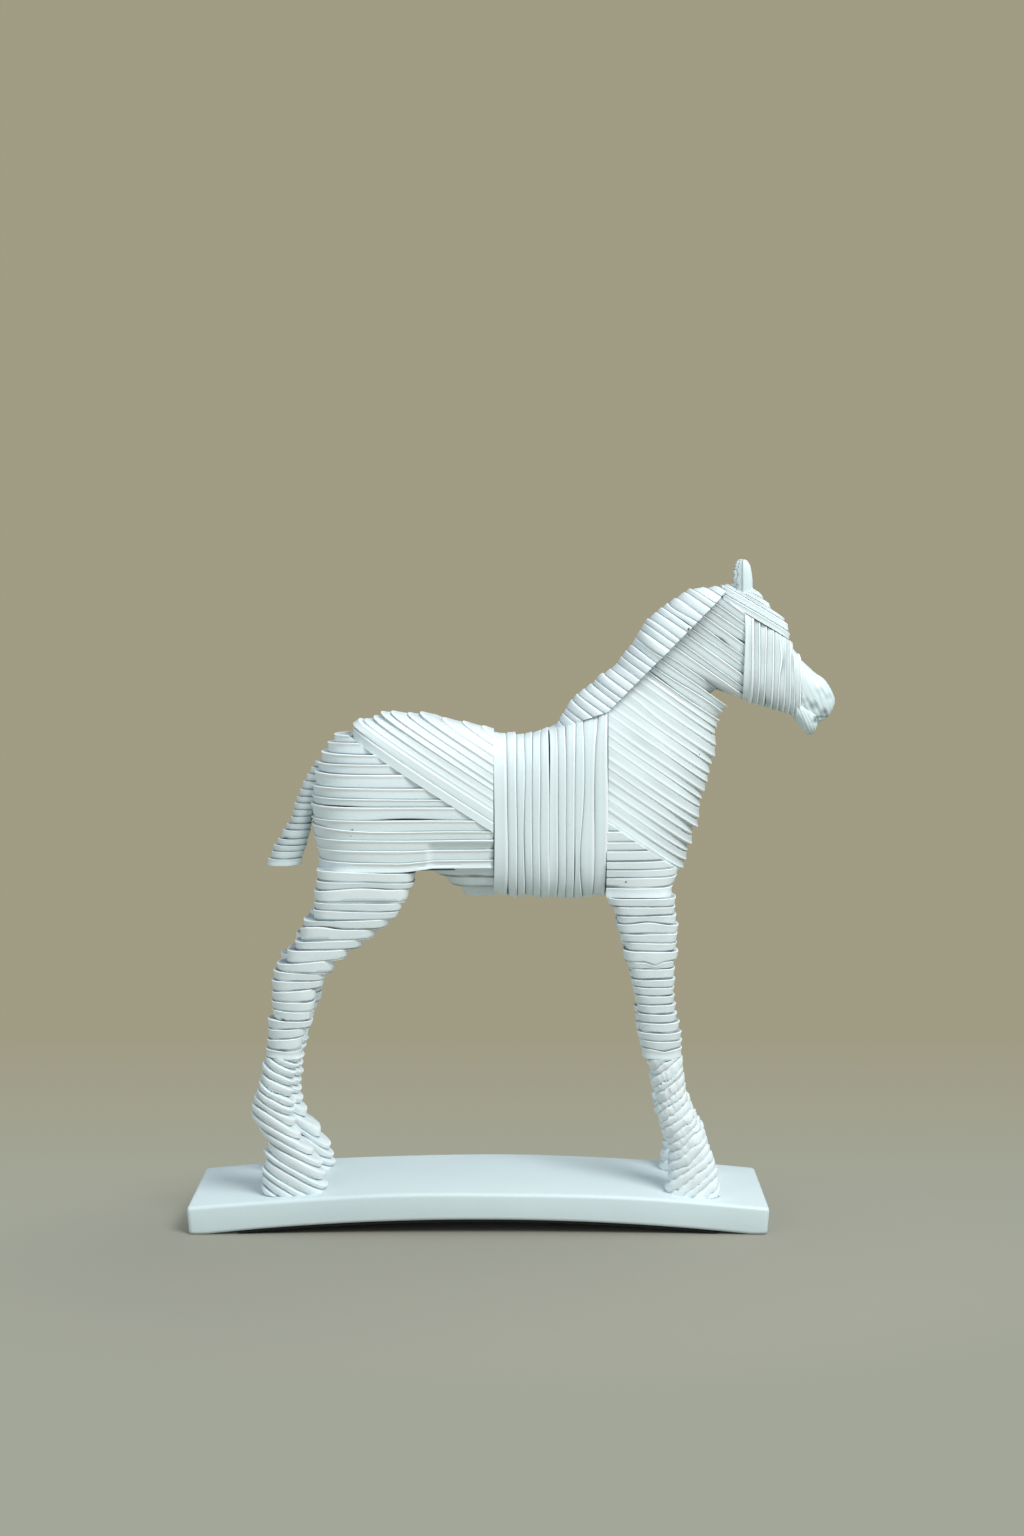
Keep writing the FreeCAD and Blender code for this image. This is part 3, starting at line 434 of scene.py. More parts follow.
# Removes what lies on the far side of a plane and closes the cut strips.
def trim(bm, point, direction, margin=0.0):
    direction = Vector(direction).normalized()
    place = Vector(point) * metre + direction * (margin * metre)
    cut = bmesh.ops.bisect_plane(bm, geom=bm.verts[:] + bm.edges[:] + bm.faces[:], plane_co=place,
                                 plane_no=direction, clear_outer=True)
    rims = [part for part in cut["geom_cut"] if isinstance(part, bmesh.types.BMEdge)]
    rims = [edge for edge in rims if len(edge.link_faces) == 1]
    if rims:
        bmesh.ops.edgeloop_fill(bm, edges=rims)


# Gives every vertex the painted light that the rule makes of its place in metres and its old value:
# painted shade above zero, painted highlight below zero.
def shade(bm, rule):
    painted_light = bm.verts.layers.float["painted_light"]
    for vert in bm.verts:
        vert[painted_light] = rule(vert.co, vert[painted_light])


def new_strips():
    bm = bmesh.new()
    # Per-vertex painted light: painted shade in grooves and hollows, painted highlight on rims.
    bm.verts.layers.float.new("painted_light")
    return bm


def add_object(name, data):
    item = bpy.data.objects.new(name, data)
    bpy.context.scene.collection.objects.link(item)
    return item


def finish_piece(bm, name, nodes, material, crease=42):
    bmesh.ops.recalc_face_normals(bm, faces=bm.faces[:])
    mesh = bpy.data.meshes.new(name)
    bm.to_mesh(mesh)
    bm.free()
    mesh.polygons.foreach_set("use_smooth", [True] * len(mesh.polygons))
    mesh.set_sharp_from_angle(angle=math.radians(crease))
    mesh.materials.append(material)
    piece = add_object(name, mesh)
    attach(piece, "root")
    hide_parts(*nodes)


def finish_strips(bm, name, node):
    finish_piece(bm, name, [node], strip_paint)


# Winds one piece, cuts it where other zones begin and hands it over.
def wind_piece(name, node, zone, levels, rng, cuts=(), rule=None, **unevenness):
    bm = new_strips()
    wind(bm, zone, levels, rng, **unevenness)
    if rule:
        shade(bm, rule)
    for cut in cuts:
        trim(bm, *cut)
    finish_strips(bm, name, node)


# Materials. A noise scale counts waves per metre, a place or strength is a share.
class Shader:
    def __init__(self, owner):
        owner.use_nodes = True
        self.owner = owner
        self.nodes = owner.node_tree.nodes
        self.surface = self.nodes.get("Principled BSDF")
        self.where = self.nodes.new("ShaderNodeTexCoord").outputs["Object"]

    def feed(self, node, constants, sources):
        for socket, value in constants.items():
            node.inputs[socket].default_value = value
        for socket, source in sources.items():
            self.owner.node_tree.links.new(source, node.inputs[socket])
        return node

    def noise(self, scale, detail):
        texture = self.nodes.new("ShaderNodeTexNoise")
        self.feed(texture, {"Scale": scale, "Detail": detail}, {"Vector": self.where})
        return texture.outputs["Fac"]

    def ramp(self, source, places, low_colour, high_colour, course="LINEAR"):
        blend = self.nodes.new("ShaderNodeValToRGB")
        blend.color_ramp.interpolation = course
        for stop, place, colour in zip(blend.color_ramp.elements, places, (low_colour, high_colour)):
            stop.position = place
            stop.color = (*colour, 1)
        return self.feed(blend, {}, {"Fac": source}).outputs["Color"]

    def mix(self, blend_type, constants, sources):
        mix = self.nodes.new("ShaderNodeMix")
        mix.data_type = "RGBA"
        mix.blend_type = blend_type
        return self.feed(mix, constants, sources).outputs["Result"]

    def multiply(self, first, second):
        return self.mix("MULTIPLY", {"Factor": 1.0}, {"A": first, "B": second})

    def roughen(self, height, strength, distance):
        bump = self.nodes.new("ShaderNodeBump")
        self.feed(bump, {"Strength": strength, "Distance": distance}, {"Height": height})
        self.feed(self.surface, {}, {"Normal": bump.outputs["Normal"]})

    def show_mix(self, factor, first, second, output):
        mix = self.nodes.new("ShaderNodeMixShader")
        self.feed(mix, {}, {"Fac": factor, 1: first, 2: second})
        self.feed(self.nodes[output], {}, {"Surface": mix.outputs["Shader"]})


white = (1, 1, 1)
black = (0, 0, 0)
paint_colour = (0.73, 0.825, 0.845)
smooth_colour = (0.64, 0.75, 0.77)
rim_highlight_colour = (0.90, 0.94, 0.95)
rim_highlight_share = 0.9
patch_scale = 14
patch_shade = 0.95
patch_places = (0.3, 0.7)
patch_roughness = (0.34, 0.46)
speck_scale = 900
speck_colour = (0.9, 0.9, 0.9)
speck_places = (0.2, 0.4)
painted_shade_colour = (0.38, 0.39, 0.40)
painted_shade_places = (0.05, 0.95)
pit_scale = 150
pit_colour = (0.1, 0.11, 0.11)
pit_places = (0.20, 0.218)
strip_brush_scale = 260
smooth_brush_scale = 90
brush_strength = 0.22
brush_height = 0.0006
paint_specular = 0.4
grain_strength = 0.2
grain_height = 0.0004


# White paint with random patches, specks and pits, darkened by painted shade and brightened by painted
# highlights from the per-vertex layer.
def white_paint(name, colour, brush_scale, pits):
    paint = Shader(bpy.data.materials.new(name))
    patches = paint.noise(patch_scale, detail=3)
    tint = paint.ramp(patches, patch_places, [c * patch_shade for c in colour], colour)
    specks = paint.ramp(paint.noise(speck_scale, detail=2), speck_places, speck_colour, white)
    painted_light_level = paint.nodes.new("ShaderNodeAttribute")
    painted_light_level.attribute_name = "painted_light"
    painted_light = painted_light_level.outputs["Fac"]
    # Painted shade in grooves and partings.
    painted_shade = paint.ramp(painted_light, painted_shade_places, white, painted_shade_colour)
    result = paint.multiply(paint.multiply(tint, specks), painted_shade)
    # Painted highlight: where the layer is below zero the paint turns to a bright rim colour.
    edge = paint.nodes.new("ShaderNodeMath")
    edge.operation = "MULTIPLY"
    edge.use_clamp = True
    paint.feed(edge, {1: -rim_highlight_share}, {0: painted_light})
    result = paint.mix("MIX", {"B": (*rim_highlight_colour, 1)}, {"Factor": edge.outputs["Value"], "A": result})
    if pits:
        spots = paint.ramp(paint.noise(pit_scale, detail=2), pit_places, pit_colour, white)
        result = paint.multiply(result, spots)
    gloss = paint.ramp(patches, patch_places, *[(share,) * 3 for share in patch_roughness])
    paint.feed(paint.surface, {"Specular IOR Level": paint_specular},
               {"Base Color": result, "Roughness": gloss})
    paint.roughen(paint.noise(brush_scale, detail=4), brush_strength, brush_height)
    return paint.owner


def grained(name, dark, light, scale, roughness, metallic=0.0):
    stuff = Shader(bpy.data.materials.new(name))
    grain = stuff.noise(scale, detail=5)
    stuff.feed(stuff.surface, {"Roughness": roughness, "Metallic": metallic},
               {"Base Color": stuff.ramp(grain, patch_places, dark, light)})
    stuff.roughen(grain, grain_strength, grain_height)
    return stuff.owner


strip_paint = white_paint("strip_paint", paint_colour, strip_brush_scale, True)
smooth_paint = white_paint("smooth_paint", smooth_colour, smooth_brush_scale, False)
core_timber = grained("core_timber", (0.10, 0.105, 0.11), (0.14, 0.145, 0.15), 60, 0.9)
dowel_timber = grained("dowel_timber", (0.30, 0.19, 0.10), (0.42, 0.29, 0.16), 80, 0.7)
black_felt = grained("black_felt", (0.002, 0.002, 0.002), (0.006, 0.006, 0.006), 700, 0.9)
steel_wire = grained("steel_wire", (0.30, 0.30, 0.31), (0.45, 0.45, 0.46), 300, 0.4, 1.0)

# Planes that part the wound zones, and how far strips end before or reach beyond them
border_point = (flank_x, 0, croup_border_z)
strap_point = (shoulder_x, 0, strap_z)
mane_point = (shoulder_x, 0, poll_level - mane_foot_drop)
brow_point = (cheek_x, 0, poll_level - brow_drop)
flank_point = (flank_x, 0, 0)
withers_x = shoulder_x - withers_reach
forward = (1, 0, 0)
backward = (-1, 0, 0)
flank_gap = 0.15
flank_cut = (flank_point, forward, -flank_gap)
shoulder_gap = 0.2
muzzle_gap = 0.3
cheek_gap = 0.4
cheek_overlap = 0.4
brisket_overlap = 0.5
neck_overlap = 0.6
sole_overlap = 0.8
poll_overlap = 2.5


def scaled(width, shares):
    return [(share, width / 2 * size) for share, size in shares]


def even_levels(low, high, count):
    return [low + (high - low) * k / count for k in range(count + 1)]


def uneven_levels(rng, low, high, count, spread=0.16):
    levels = np.array(even_levels(low, high, count))
    levels[1:-1] += rng.uniform(-spread, spread, count - 1) * (high - low) / count
    return levels


# Haunch. Outlines, plans and widths hold shares of the zone's length, height or width.
haunch_back = [
    (0.034, -0.1), (0.034, 0), (0.038, 0.078), (0.014, 0.195), (0, 0.325), (0, 0.442), (0.005, 0.558),
    (0.014, 0.662), (0.034, 0.753), (0.063, 0.831), (0.101, 0.909), (0.149, 0.974), (0.183, 1.013)]
haunch_front = [(1.1, -0.1), (1.1, 1.1)]
haunch_width_shares = [
    (0, 0.97), (0.2, 1), (0.34, 1), (0.42, 0.98), (0.5, 0.955), (0.56, 0.92), (0.64, 0.88), (0.71, 0.83),
    (0.79, 0.77), (0.86, 0.68), (0.94, 0.56), (1, 0.45)]
haunch_plan = [
    (0, 0.18), (0.027, 0.45), (0.082, 0.7), (0.164, 0.87), (0.29, 0.95), (0.456, 0.94), (0.684, 0.9),
    (1, 0.86)]
haunch_low_plan = [
    (0, 0.22), (0.027, 0.5), (0.082, 0.74), (0.164, 0.89), (0.29, 0.95), (0.5, 0.94), (0.7, 0.9),
    (1, 0.86)]
rump_cap_share = 0.62
rump_cap_overlap = 2.0
flank_step_share = 0.64
flank_step_depth = 2.0
flank_step_height = 17.0
flank_step_ramp = 0.02
flank_step_fade = 5
flank_bend = 2.0
flank_bend_lead = 0.16
flank_bend_length = 0.2


# The lower front of the haunch steps in and its strips bend up towards the barrel.
def shape_flank(points):
    x, z = points[:, 0], points[:, 2]
    low = np.clip(1 - (z - hip_level) / flank_step_height, 0, 1)
    ahead = (x - rump_x) / haunch_length - flank_step_share
    stepped = np.clip(ahead / flank_step_ramp, 0, 1) * np.clip(low * flank_step_fade, 0, 1)
    points[:, 1] -= np.sign(points[:, 1]) * flank_step_depth * stepped
    rise = np.clip((ahead + flank_bend_lead) / flank_bend_length, 0, 1)
    points[:, 2] += flank_bend * low * rise * rise * (3 - 2 * rise)


def make_haunch():
    rng = np.random.default_rng(11)
    back, front = outlines(
        rump_x, hip_level, haunch_length, haunch_height, haunch_back, haunch_front)
    low_plan, high_plan = [
        mirrored_section(haunch_points, shares, haunch_length / haunch_width)
        for shares in (haunch_low_plan, haunch_plan)]
    zone = Zone(
        0, back, front, scaled(haunch_width, haunch_width_shares), hip_level,
        hip_level + haunch_height, low_plan, high_section=high_plan, follow=0.35, lip_size=0.85,
        shape=shape_flank, depth=deep_strip_depth)
    bm = new_strips()
    levels = uneven_levels(rng, zone.low, zone.high, haunch_strips)
    levels[-1] = levels[-2] + (levels[-1] - levels[-2]) * rump_cap_share
    wind(bm, zone, levels, rng, cup_profile, pinch=0.3, part=0.3, dirt=0.9)
    trim(bm, border_point, normal(croup_tilt))
    trim(bm, *flank_cut)
    across, _, up = normal(croup_tilt)
    border_x = border_point[0] - (levels[-1] - border_point[2]) * up / across
    cap(bm, zone, levels[-1], border_x + rump_cap_overlap)
    finish_strips(bm, "haunch_strips", "haunch_wrap")


# Croup. The front outline is the back one moved along the strips, well past the flank.
croup_back = [
    (-1, 0.7), (-1, 0.788), (-0.988, 0.879), (-0.914, 0.909), (-0.864, 0.939), (-0.796, 0.97),
    (-0.71, 0.997), (-0.611, 0.988), (-0.494, 0.979), (-0.389, 0.962), (-0.247, 0.921), (-0.111, 0.879),
    (0, 0.841), (0.173, 0.818), (0.346, 0.803)]
croup_top_share = 0.87
croup_border_share = 0.108
croup_reach_share = 2.3
croup_top_width_share = 0.97
croup_edge_proud = 1.0
croup_edge_end = 1.05
croup_end_swells = (7.0, 1.0)


def make_croup():
    rng = np.random.default_rng(12)
    back, = outlines(flank_x, croup_border_z, croup_length, croup_height, croup_back)
    front = back + along(croup_tilt)[[0, 2]] * (croup_length * croup_reach_share)
    low = level_of((flank_x, croup_border_z), croup_tilt)
    high = level_of((flank_x, croup_border_z + croup_height * croup_top_share), croup_tilt)
    first = croup_border_share
    zone = Zone(
        croup_tilt, back, front, scaled(croup_width, [(0.0, 1.0), (1.0, croup_top_width_share)]),
        low, high, oval_section(*croup_oval), follow=0.8, lip_size=0.2, end_swells=croup_end_swells,
        proud=[(0, croup_edge_proud), (first, croup_edge_proud), (first * croup_edge_end, 0)])
    bm = new_strips()
    border = [low, low + (high - low) * first]
    rest = uneven_levels(rng, low + (high - low) * 2 * first, high, croup_strips - 2)
    wind(bm, zone, border + [rest[0]], rng, cord_profile, wave=0.05, stray=0.3, part=0.2, dirt=0.7)
    wind(bm, zone, rest, rng, pleat_profile, wave=0.07, stray=pleat_stray, pinch=0.3, part=0.0,
         fray=0.15)
    trim(bm, *flank_cut)
    finish_strips(bm, "croup_strips", "croup_wrap")


# Belly
belly_back = [
    (0.865, 0.057), (0.817, 0.257), (0.745, 0.571), (0.673, 0.886), (0.615, 1.02), (0.5, 1.1),
    (0.46, 1.5)]
belly_width_shares = [(0, 0.35), (0.2, 0.46), (0.5, 0.78), (0.85, 0.94), (1, 0.98)]
belly_plan = [(0, 0.4), (0.12, 0.75), (0.35, 0.95), (1, 1)]
belly_plan_aspect = 0.8
belly_foot_share = 0.057


def make_belly():
    rng = np.random.default_rng(13)
    back, = outlines(rump_x, belly_level, haunch_length, belly_drop, belly_back)
    front, = outlines(rump_x, hip_level, haunch_length, haunch_height, haunch_front)
    zone = Zone(
        0, back, front, scaled(belly_width, belly_width_shares),
        belly_level + belly_drop * belly_foot_share, hip_level + flank_bend,
        mirrored_section(belly_points, belly_plan, belly_plan_aspect), follow=0.3,
        lip_size=0.8)
    levels = even_levels(zone.low, zone.high, belly_strips)
    wind_piece("belly_strips", "belly_wrap", zone, levels, rng, [flank_cut], pinch=0)


# Barrel
barrel_length = shoulder_x - flank_x
barrel_top = [
    (-0.1, 1.01), (0, 0.998), (0.125, 0.977), (0.25, 0.97), (0.375, 0.987), (0.5, 1.016), (0.594, 1.05),
    (0.75, 1.12), (0.906, 1.18), (1, 1.22)]
barrel_bottom = [
    (-0.1, 0.03), (0, 0.021), (0.156, 0.005), (0.36, -0.003), (0.594, -0.003), (0.83, 0.005), (1, 0.021)]
barrel_width_shares = [(0, 0.955), (0.28, 0.985), (0.6, 1), (0.9, 0.98), (1, 0.965)]
barrel_proud_shares = [(0, 0.1), (0.117, 0.1), (0.118, 0), (0.882, 0), (0.883, 0.5)]
barrel_strip_shares = [0, 0.117, 0.2, 0.27, 0.34, 0.41, 0.49, 0.56, 0.63, 0.71, 0.79, 0.883, 1]


def make_barrel():
    rng = np.random.default_rng(14)
    top, bottom = outlines(
        flank_x, belly_level, barrel_length, barrel_height, barrel_top, barrel_bottom)
    zone = Zone(
        90, top, bottom, scaled(barrel_width, barrel_width_shares), flank_x, shoulder_x,
        oval_section(*barrel_oval), proud=barrel_proud_shares, follow=0.7, lip_size=0.8)
    levels = [zone.low + barrel_length * share for share in barrel_strip_shares]
    split = sum(level < withers_x for level in levels)
    withers_cut = (mane_point, normal(-withers_tilt))
    for word, shown, cuts in (("rear", levels[:split], []), ("fore", levels[split - 1:], [withers_cut])):
        wind_piece("barrel_strips_" + word, "barrel_wrap", zone, shown, rng, cuts,
                   profile=cord_profile, wave=0.12, stray=0.4, pinch=0.5, part=0.4, dirt=0.8, fray=0.4)


# Brisket
brisket_back = [(-0.3, -0.1), (-0.3, 1)]
brisket_front = [(0.9, -0.1), (0.9, 0), (0.915, 0.12), (1, 0.27), (1.03, 1)]
brisket_width_shares = [(0, 0.97), (0.3, 1), (1, 1)]
brisket_plan = [(0, 1), (0.5, 1), (0.78, 0.93), (0.93, 0.74), (1, 0.42)]
brisket_low_plan = [
    (0, 0.82), (0.25, 0.86), (0.38, 0.93), (0.52, 0.98), (0.78, 0.97), (0.93, 0.88), (1, 0.62)]
brisket_proud = 1.0
brisket_change_shares = [(0.0, 0.0), (0.38, 1.0)]


def make_brisket():
    rng = np.random.default_rng(15)
    back, front = outlines(
        shoulder_x, elbow_level, brisket_length, strap_z - elbow_level, brisket_back,
        brisket_front)
    low_plan, high_plan = [
        mirrored_section(brisket_points, shares, 1.0)
        for shares in (brisket_low_plan, brisket_plan)]
    zone = Zone(
        0, back, front, scaled(brisket_width, brisket_width_shares), elbow_level, strap_z, low_plan,
        high_section=high_plan, proud=[(0, brisket_proud)], change=brisket_change_shares,
        depth=leg_strip_depth)
    levels = uneven_levels(rng, zone.low, zone.high, brisket_strips)
    cuts = [(strap_point, normal(neck_tilt)), ((shoulder_x, 0, 0), backward, brisket_overlap)]
    wind_piece("brisket_strips", "brisket_wrap", zone, levels, rng, cuts)


# Neck and mane
crest_shares = [
    (-0.6, 0.352), (-0.377, 0.506), (-0.325, 0.543), (-0.26, 0.59), (-0.208, 0.623), (-0.091, 0.66),
    (-0.052, 0.685), (0.078, 0.722), (0.117, 0.753), (0.195, 0.802), (0.299, 0.883), (0.416, 0.926),
    (0.519, 0.963), (0.623, 0.994), (0.701, 0.993), (0.805, 1), (0.909, 1.006), (1.05, 1.01)]
chest_shares = [
    (0.532, -0.006), (0.571, 0.012), (0.61, 0.056), (0.63, 0.099), (0.662, 0.148), (0.682, 0.198),
    (0.695, 0.241), (0.708, 0.284), (0.753, 0.327), (0.77, 0.377), (0.792, 0.426), (0.799, 0.469),
    (0.831, 0.512), (0.838, 0.549), (0.896, 0.58), (0.779, 0.627), (0.818, 0.648), (0.987, 0.612),
    (1.09, 0.654), (1.22, 0.778), (1.35, 0.87)]
neck_width_shares = [
    (0, 0.98), (0.2, 0.98), (0.35, 0.89), (0.5, 0.74), (0.65, 0.62), (0.8, 0.54), (1, 0.47)]
# The mane is as wide at the poll as at its foot.
mane_width_shares = [(0.0, 0.98), (1.0, 0.98)]
neck_lip = 0.19
neck_high_lip = 0.75
neck_end_swells = (1.0, 5.0)
strap_proud = 1.0
strap_end = 1.02
mane_shade = 0.15
mane_shade_reach = 9.0
neck_shade = 0.14
neck_shade_start = 0.3
neck_shade_growth = 2.2
poll_shade = 0.5
poll_shade_reach = 14.0


# Painted shade greys the neck towards the head and along the mane's border, and spares the painted
# highlights on the rims.
def neck_rule(place, painted_light):
    back = (place / metre - Vector(mane_point)).dot(Vector(normal(-mane_tilt))) / mane_shade_reach
    rise = (place.x / metre - shoulder_x) / (cheek_x - shoulder_x)
    high = min(max(rise * neck_shade_growth - neck_shade_start, 0), 1)
    painted_shade = high * (mane_shade * math.exp(-back ** 2) + neck_shade)
    return painted_light + painted_shade * (1 + min(painted_light, 0))


# Painted shade greys the mane near the ears.
def mane_rule(place, painted_light):
    near = (place.x / metre - cheek_x) / poll_shade_reach
    return painted_light + poll_shade * math.exp(-near ** 2) * (1 + min(painted_light, 0) / 2)


def make_neck():
    rng = np.random.default_rng(16)
    crest, chest = outlines(
        shoulder_x, chest_level, neck_reach, neck_height, crest_shares, chest_shares)
    low = level_of((shoulder_x, strap_z), neck_tilt)
    high = level_of((cheek_x, poll_level - brow_drop), neck_tilt)
    strap = 2 / neck_strips
    zone = Zone(
        neck_tilt, crest, chest, scaled(neck_width, neck_width_shares), low, high,
        oval_section(*neck_oval), follow=0.6,
        proud=[(0, strap_proud), (strap, strap_proud), (strap * strap_end, 0)],
        lip_size=neck_lip, end_swells=neck_end_swells, depth=neck_strip_depth)
    bm = new_strips()
    levels = uneven_levels(rng, low, high, neck_strips)
    wind(bm, zone, levels[:neck_soft_strips + 1], rng, pleat_profile, wave=0.06, stray=pleat_stray,
         part=0.0, fray=0.15)
    zone.lip_size, zone.end_swells = neck_high_lip, (1.0, 1.0)
    wind(bm, zone, levels[neck_soft_strips:], rng, cup_profile, wave=0.06, pinch=0.3, part=0.8,
         dirt=1.2, fray=0.3)
    shade(bm, neck_rule)
    trim(bm, mane_point, normal(-mane_tilt), neck_overlap)
    trim(bm, brow_point, normal(brow_tilt), neck_overlap)
    trim(bm, (cheek_x, 0, 0), forward, cheek_overlap)
    trim(bm, (shoulder_x, 0, 0), backward, -shoulder_gap)
    finish_strips(bm, "neck_strips", "neck_wrap")
    zone = Zone(
        neck_tilt, crest, chest, scaled(neck_width, mane_width_shares), low, high,
        oval_section(*neck_oval), proud=[(0, mane_proud)], follow=0.75, lip_size=0.6)
    low, high = [level_of(crest[k], neck_tilt) for k in (1, -2)]
    cuts = [(mane_point, -normal(-mane_tilt)), (mane_point, -normal(-withers_tilt)),
            ((withers_x, 0, 0), backward), ((cheek_x - poll_setback, 0, 0), forward, poll_overlap)]
    wind_piece("mane_strips", "mane_wrap", zone, uneven_levels(rng, low, high, mane_strips), rng,
               cuts, mane_rule, profile=mane_profile, wave=0.08, stray=0.35, pinch=0.2, part=0.3,
               dirt=0.8)


# Cheeks and brow
cheek_top = [
    (-0.2, 1.05), (0, 0.937), (0.32, 0.778), (0.472, 0.635), (0.509, 0.532), (0.585, 0.397), (0.67, 0.31)]
cheek_bottom = [
    (-0.2, 0.05), (0, 0), (0.094, -0.043), (0.32, -0.095), (0.472, -0.135), (0.623, -0.183),
    (0.67, -0.19)]
cheek_width_shares = [(0, 1), (0.12, 0.97), (0.5, 0.85), (0.8, 0.72), (1, 0.64)]
cheek_strip_shares = [0, 0.164, 0.273, 0.385, 0.518, 0.621, 0.724, 0.815, 0.894, 1]
poll_back = [
    (-0.4, 0.88), (-0.32, 0.976), (-0.226, 1.008), (-0.094, 1.016), (0.019, 1.008), (0.113, 1)]
brow_front = [
    (0.519, 0.524), (0.515, 0.563), (0.453, 0.667), (0.44, 0.717), (0.302, 0.803), (0.213, 0.911),
    (0.151, 0.962), (0.12, 0.99)]
brow_strip_shares = [0, 0.24, 0.52, 0.66, 0.84, 1]
brow_width_shares = [(0, 1), (0.3, 0.95), (0.6, 0.82), (1, 0.6)]
cheek_proud_shares = [(0, 0.8), (0.16, 0.8), (0.17, 0)]


def make_head():
    rng = np.random.default_rng(17)
    top, bottom, poll, face = outlines(
        cheek_x, jaw_level, head_length, head_height, cheek_top, cheek_bottom,
        poll_back, brow_front)
    zone = Zone(
        90, top, bottom, scaled(head_width, cheek_width_shares), cheek_x, muzzle_x,
        oval_section(*cheek_oval), proud=cheek_proud_shares, follow=0.6, lip_size=0.8)
    levels = [zone.low + (zone.high - zone.low) * share for share in cheek_strip_shares]
    cuts = [(brow_point, normal(brow_tilt), -cheek_gap)]
    wind_piece("cheek_strips", "cheek_wrap", zone, levels, rng, cuts, profile=strap_profile,
               wave=0.06, pinch=0.2, part=0.2)
    low = level_of((brow_point[0], brow_point[2]), brow_tilt)
    zone = Zone(
        brow_tilt, poll, face, scaled(brow_width, brow_width_shares), low, low + brow_height,
        oval_section(*brow_oval), follow=0.7, lip_size=1.0, depth=leg_strip_depth)
    bm = new_strips()
    levels = [low + brow_height * share for share in brow_strip_shares]
    wind(bm, zone, levels, rng, cord_profile, stray=0.3, pinch=0, part=0, dirt=0.5, fray=0.8)
    cap(bm, zone, zone.high, muzzle_x)
    trim(bm, (cheek_x - poll_setback, 0, 0), backward)
    finish_strips(bm, "brow_strips", "brow_wrap")


# Tail
tail_back = [
    (-1, 0), (-0.86, 0.133), (-0.76, 0.233), (-0.62, 0.317), (-0.48, 0.417), (-0.38, 0.55), (-0.26, 0.7),
    (-0.14, 0.817), (0, 0.917), (0.1, 1.017)]
tail_front = [
    (-0.28, 0), (-0.24, 0.083), (-0.12, 0.217), (-0.06, 0.35), (0.02, 0.483), (0.24, 0.633),
    (0.48, 0.817), (0.64, 1.017)]
tail_width_shares = [(0, 1), (0.5, 0.9), (1, 0.72)]
tail_shade = 0.32
tail_highlight_limit = -0.3


# Painted shade greys the whole tail and holds its painted highlights down.
def tail_rule(place, painted_light):
    return max(painted_light, tail_highlight_limit) + tail_shade


def make_tail():
    rng = np.random.default_rng(18)
    back, front = outlines(
        rump_x, hip_level, tail_reach, tail_length, tail_back, tail_front)
    zone = Zone(
        0, back, front, scaled(tail_width, tail_width_shares), hip_level, hip_level + tail_length,
        oval_section(*tail_oval), follow=0.6)
    levels = uneven_levels(rng, zone.low, zone.high, tail_strips)
    wind_piece("tail_strips", "tail_wrap", zone, levels, rng, rule=tail_rule, stray=0.4, dirt=0.5)


# The plinth's curves follow from its box and from the gap under its middle.
plinth_rise = crown - plinth_thickness
arch_radius = (plinth_length ** 2 / 4 + plinth_rise ** 2) / (2 * plinth_rise)
arch_centre_z = plinth_rise - arch_radius
hollow_half_span = plinth_length / 2 - rest_land_width
hollow_radius = (hollow_half_span ** 2 + plinth_rise ** 2) / (2 * plinth_rise)


def hollow_height(x):
    reach = min(abs(x - plinth_centre_x), hollow_half_span)
    return plinth_rise - hollow_radius + math.sqrt(hollow_radius ** 2 - reach ** 2)


def top_surface(x):
    reach = (arch_radius + plinth_thickness) ** 2 - (x - plinth_centre_x) ** 2
    return arch_centre_z + math.sqrt(reach)


# Legs
hind_back = [
    (-0.309, -0.25), (-0.309, -0.036), (-0.322, 0.03), (-0.3, 0.068), (-0.267, 0.101), (-0.28, 0.134),
    (-0.342, 0.167), (-0.4, 0.205), (-0.418, 0.249), (-0.411, 0.277), (-0.336, 0.321), (-0.325, 0.359),
    (-0.305, 0.392), (-0.264, 0.43), (-0.264, 0.474), (-0.242, 0.529), (-0.222, 0.578), (-0.218, 0.644),
    (-0.2, 0.682), (-0.109, 0.715), (-0.018, 0.748), (0.045, 0.775), (0.1, 0.808), (0.127, 0.841),
    (0.218, 0.858), (0.227, 0.907), (0.255, 0.962), (0.245, 1), (0.245, 1.05)]
hind_front = [
    (0.318, -0.25), (0.318, 0), (0.273, 0.052), (0.209, 0.096), (0.118, 0.134), (0.027, 0.173),
    (-0.024, 0.216), (-0.036, 0.271), (-0.027, 0.326), (0.009, 0.375), (0.064, 0.436), (0.118, 0.479),
    (0.164, 0.523), (0.209, 0.567), (0.242, 0.616), (0.318, 0.66), (0.382, 0.688), (0.455, 0.715),
    (0.564, 0.742), (0.673, 0.764), (0.782, 0.786), (0.882, 0.814), (1.009, 0.841), (1.1, 0.868),
    (1.127, 0.896), (1.182, 0.929), (1.245, 0.956), (1.273, 1), (1.273, 1.05)]
hind_width_shares = [
    (0, 0.76), (0.15, 0.66), (0.27, 0.69), (0.42, 0.59), (0.6, 0.62), (0.7, 0.69), (0.85, 0.84), (1, 1)]
hind_stance = [(0, 1), (0.6, 1), (0.7, 0.977), (0.85, 0.89), (1, 0.78)]
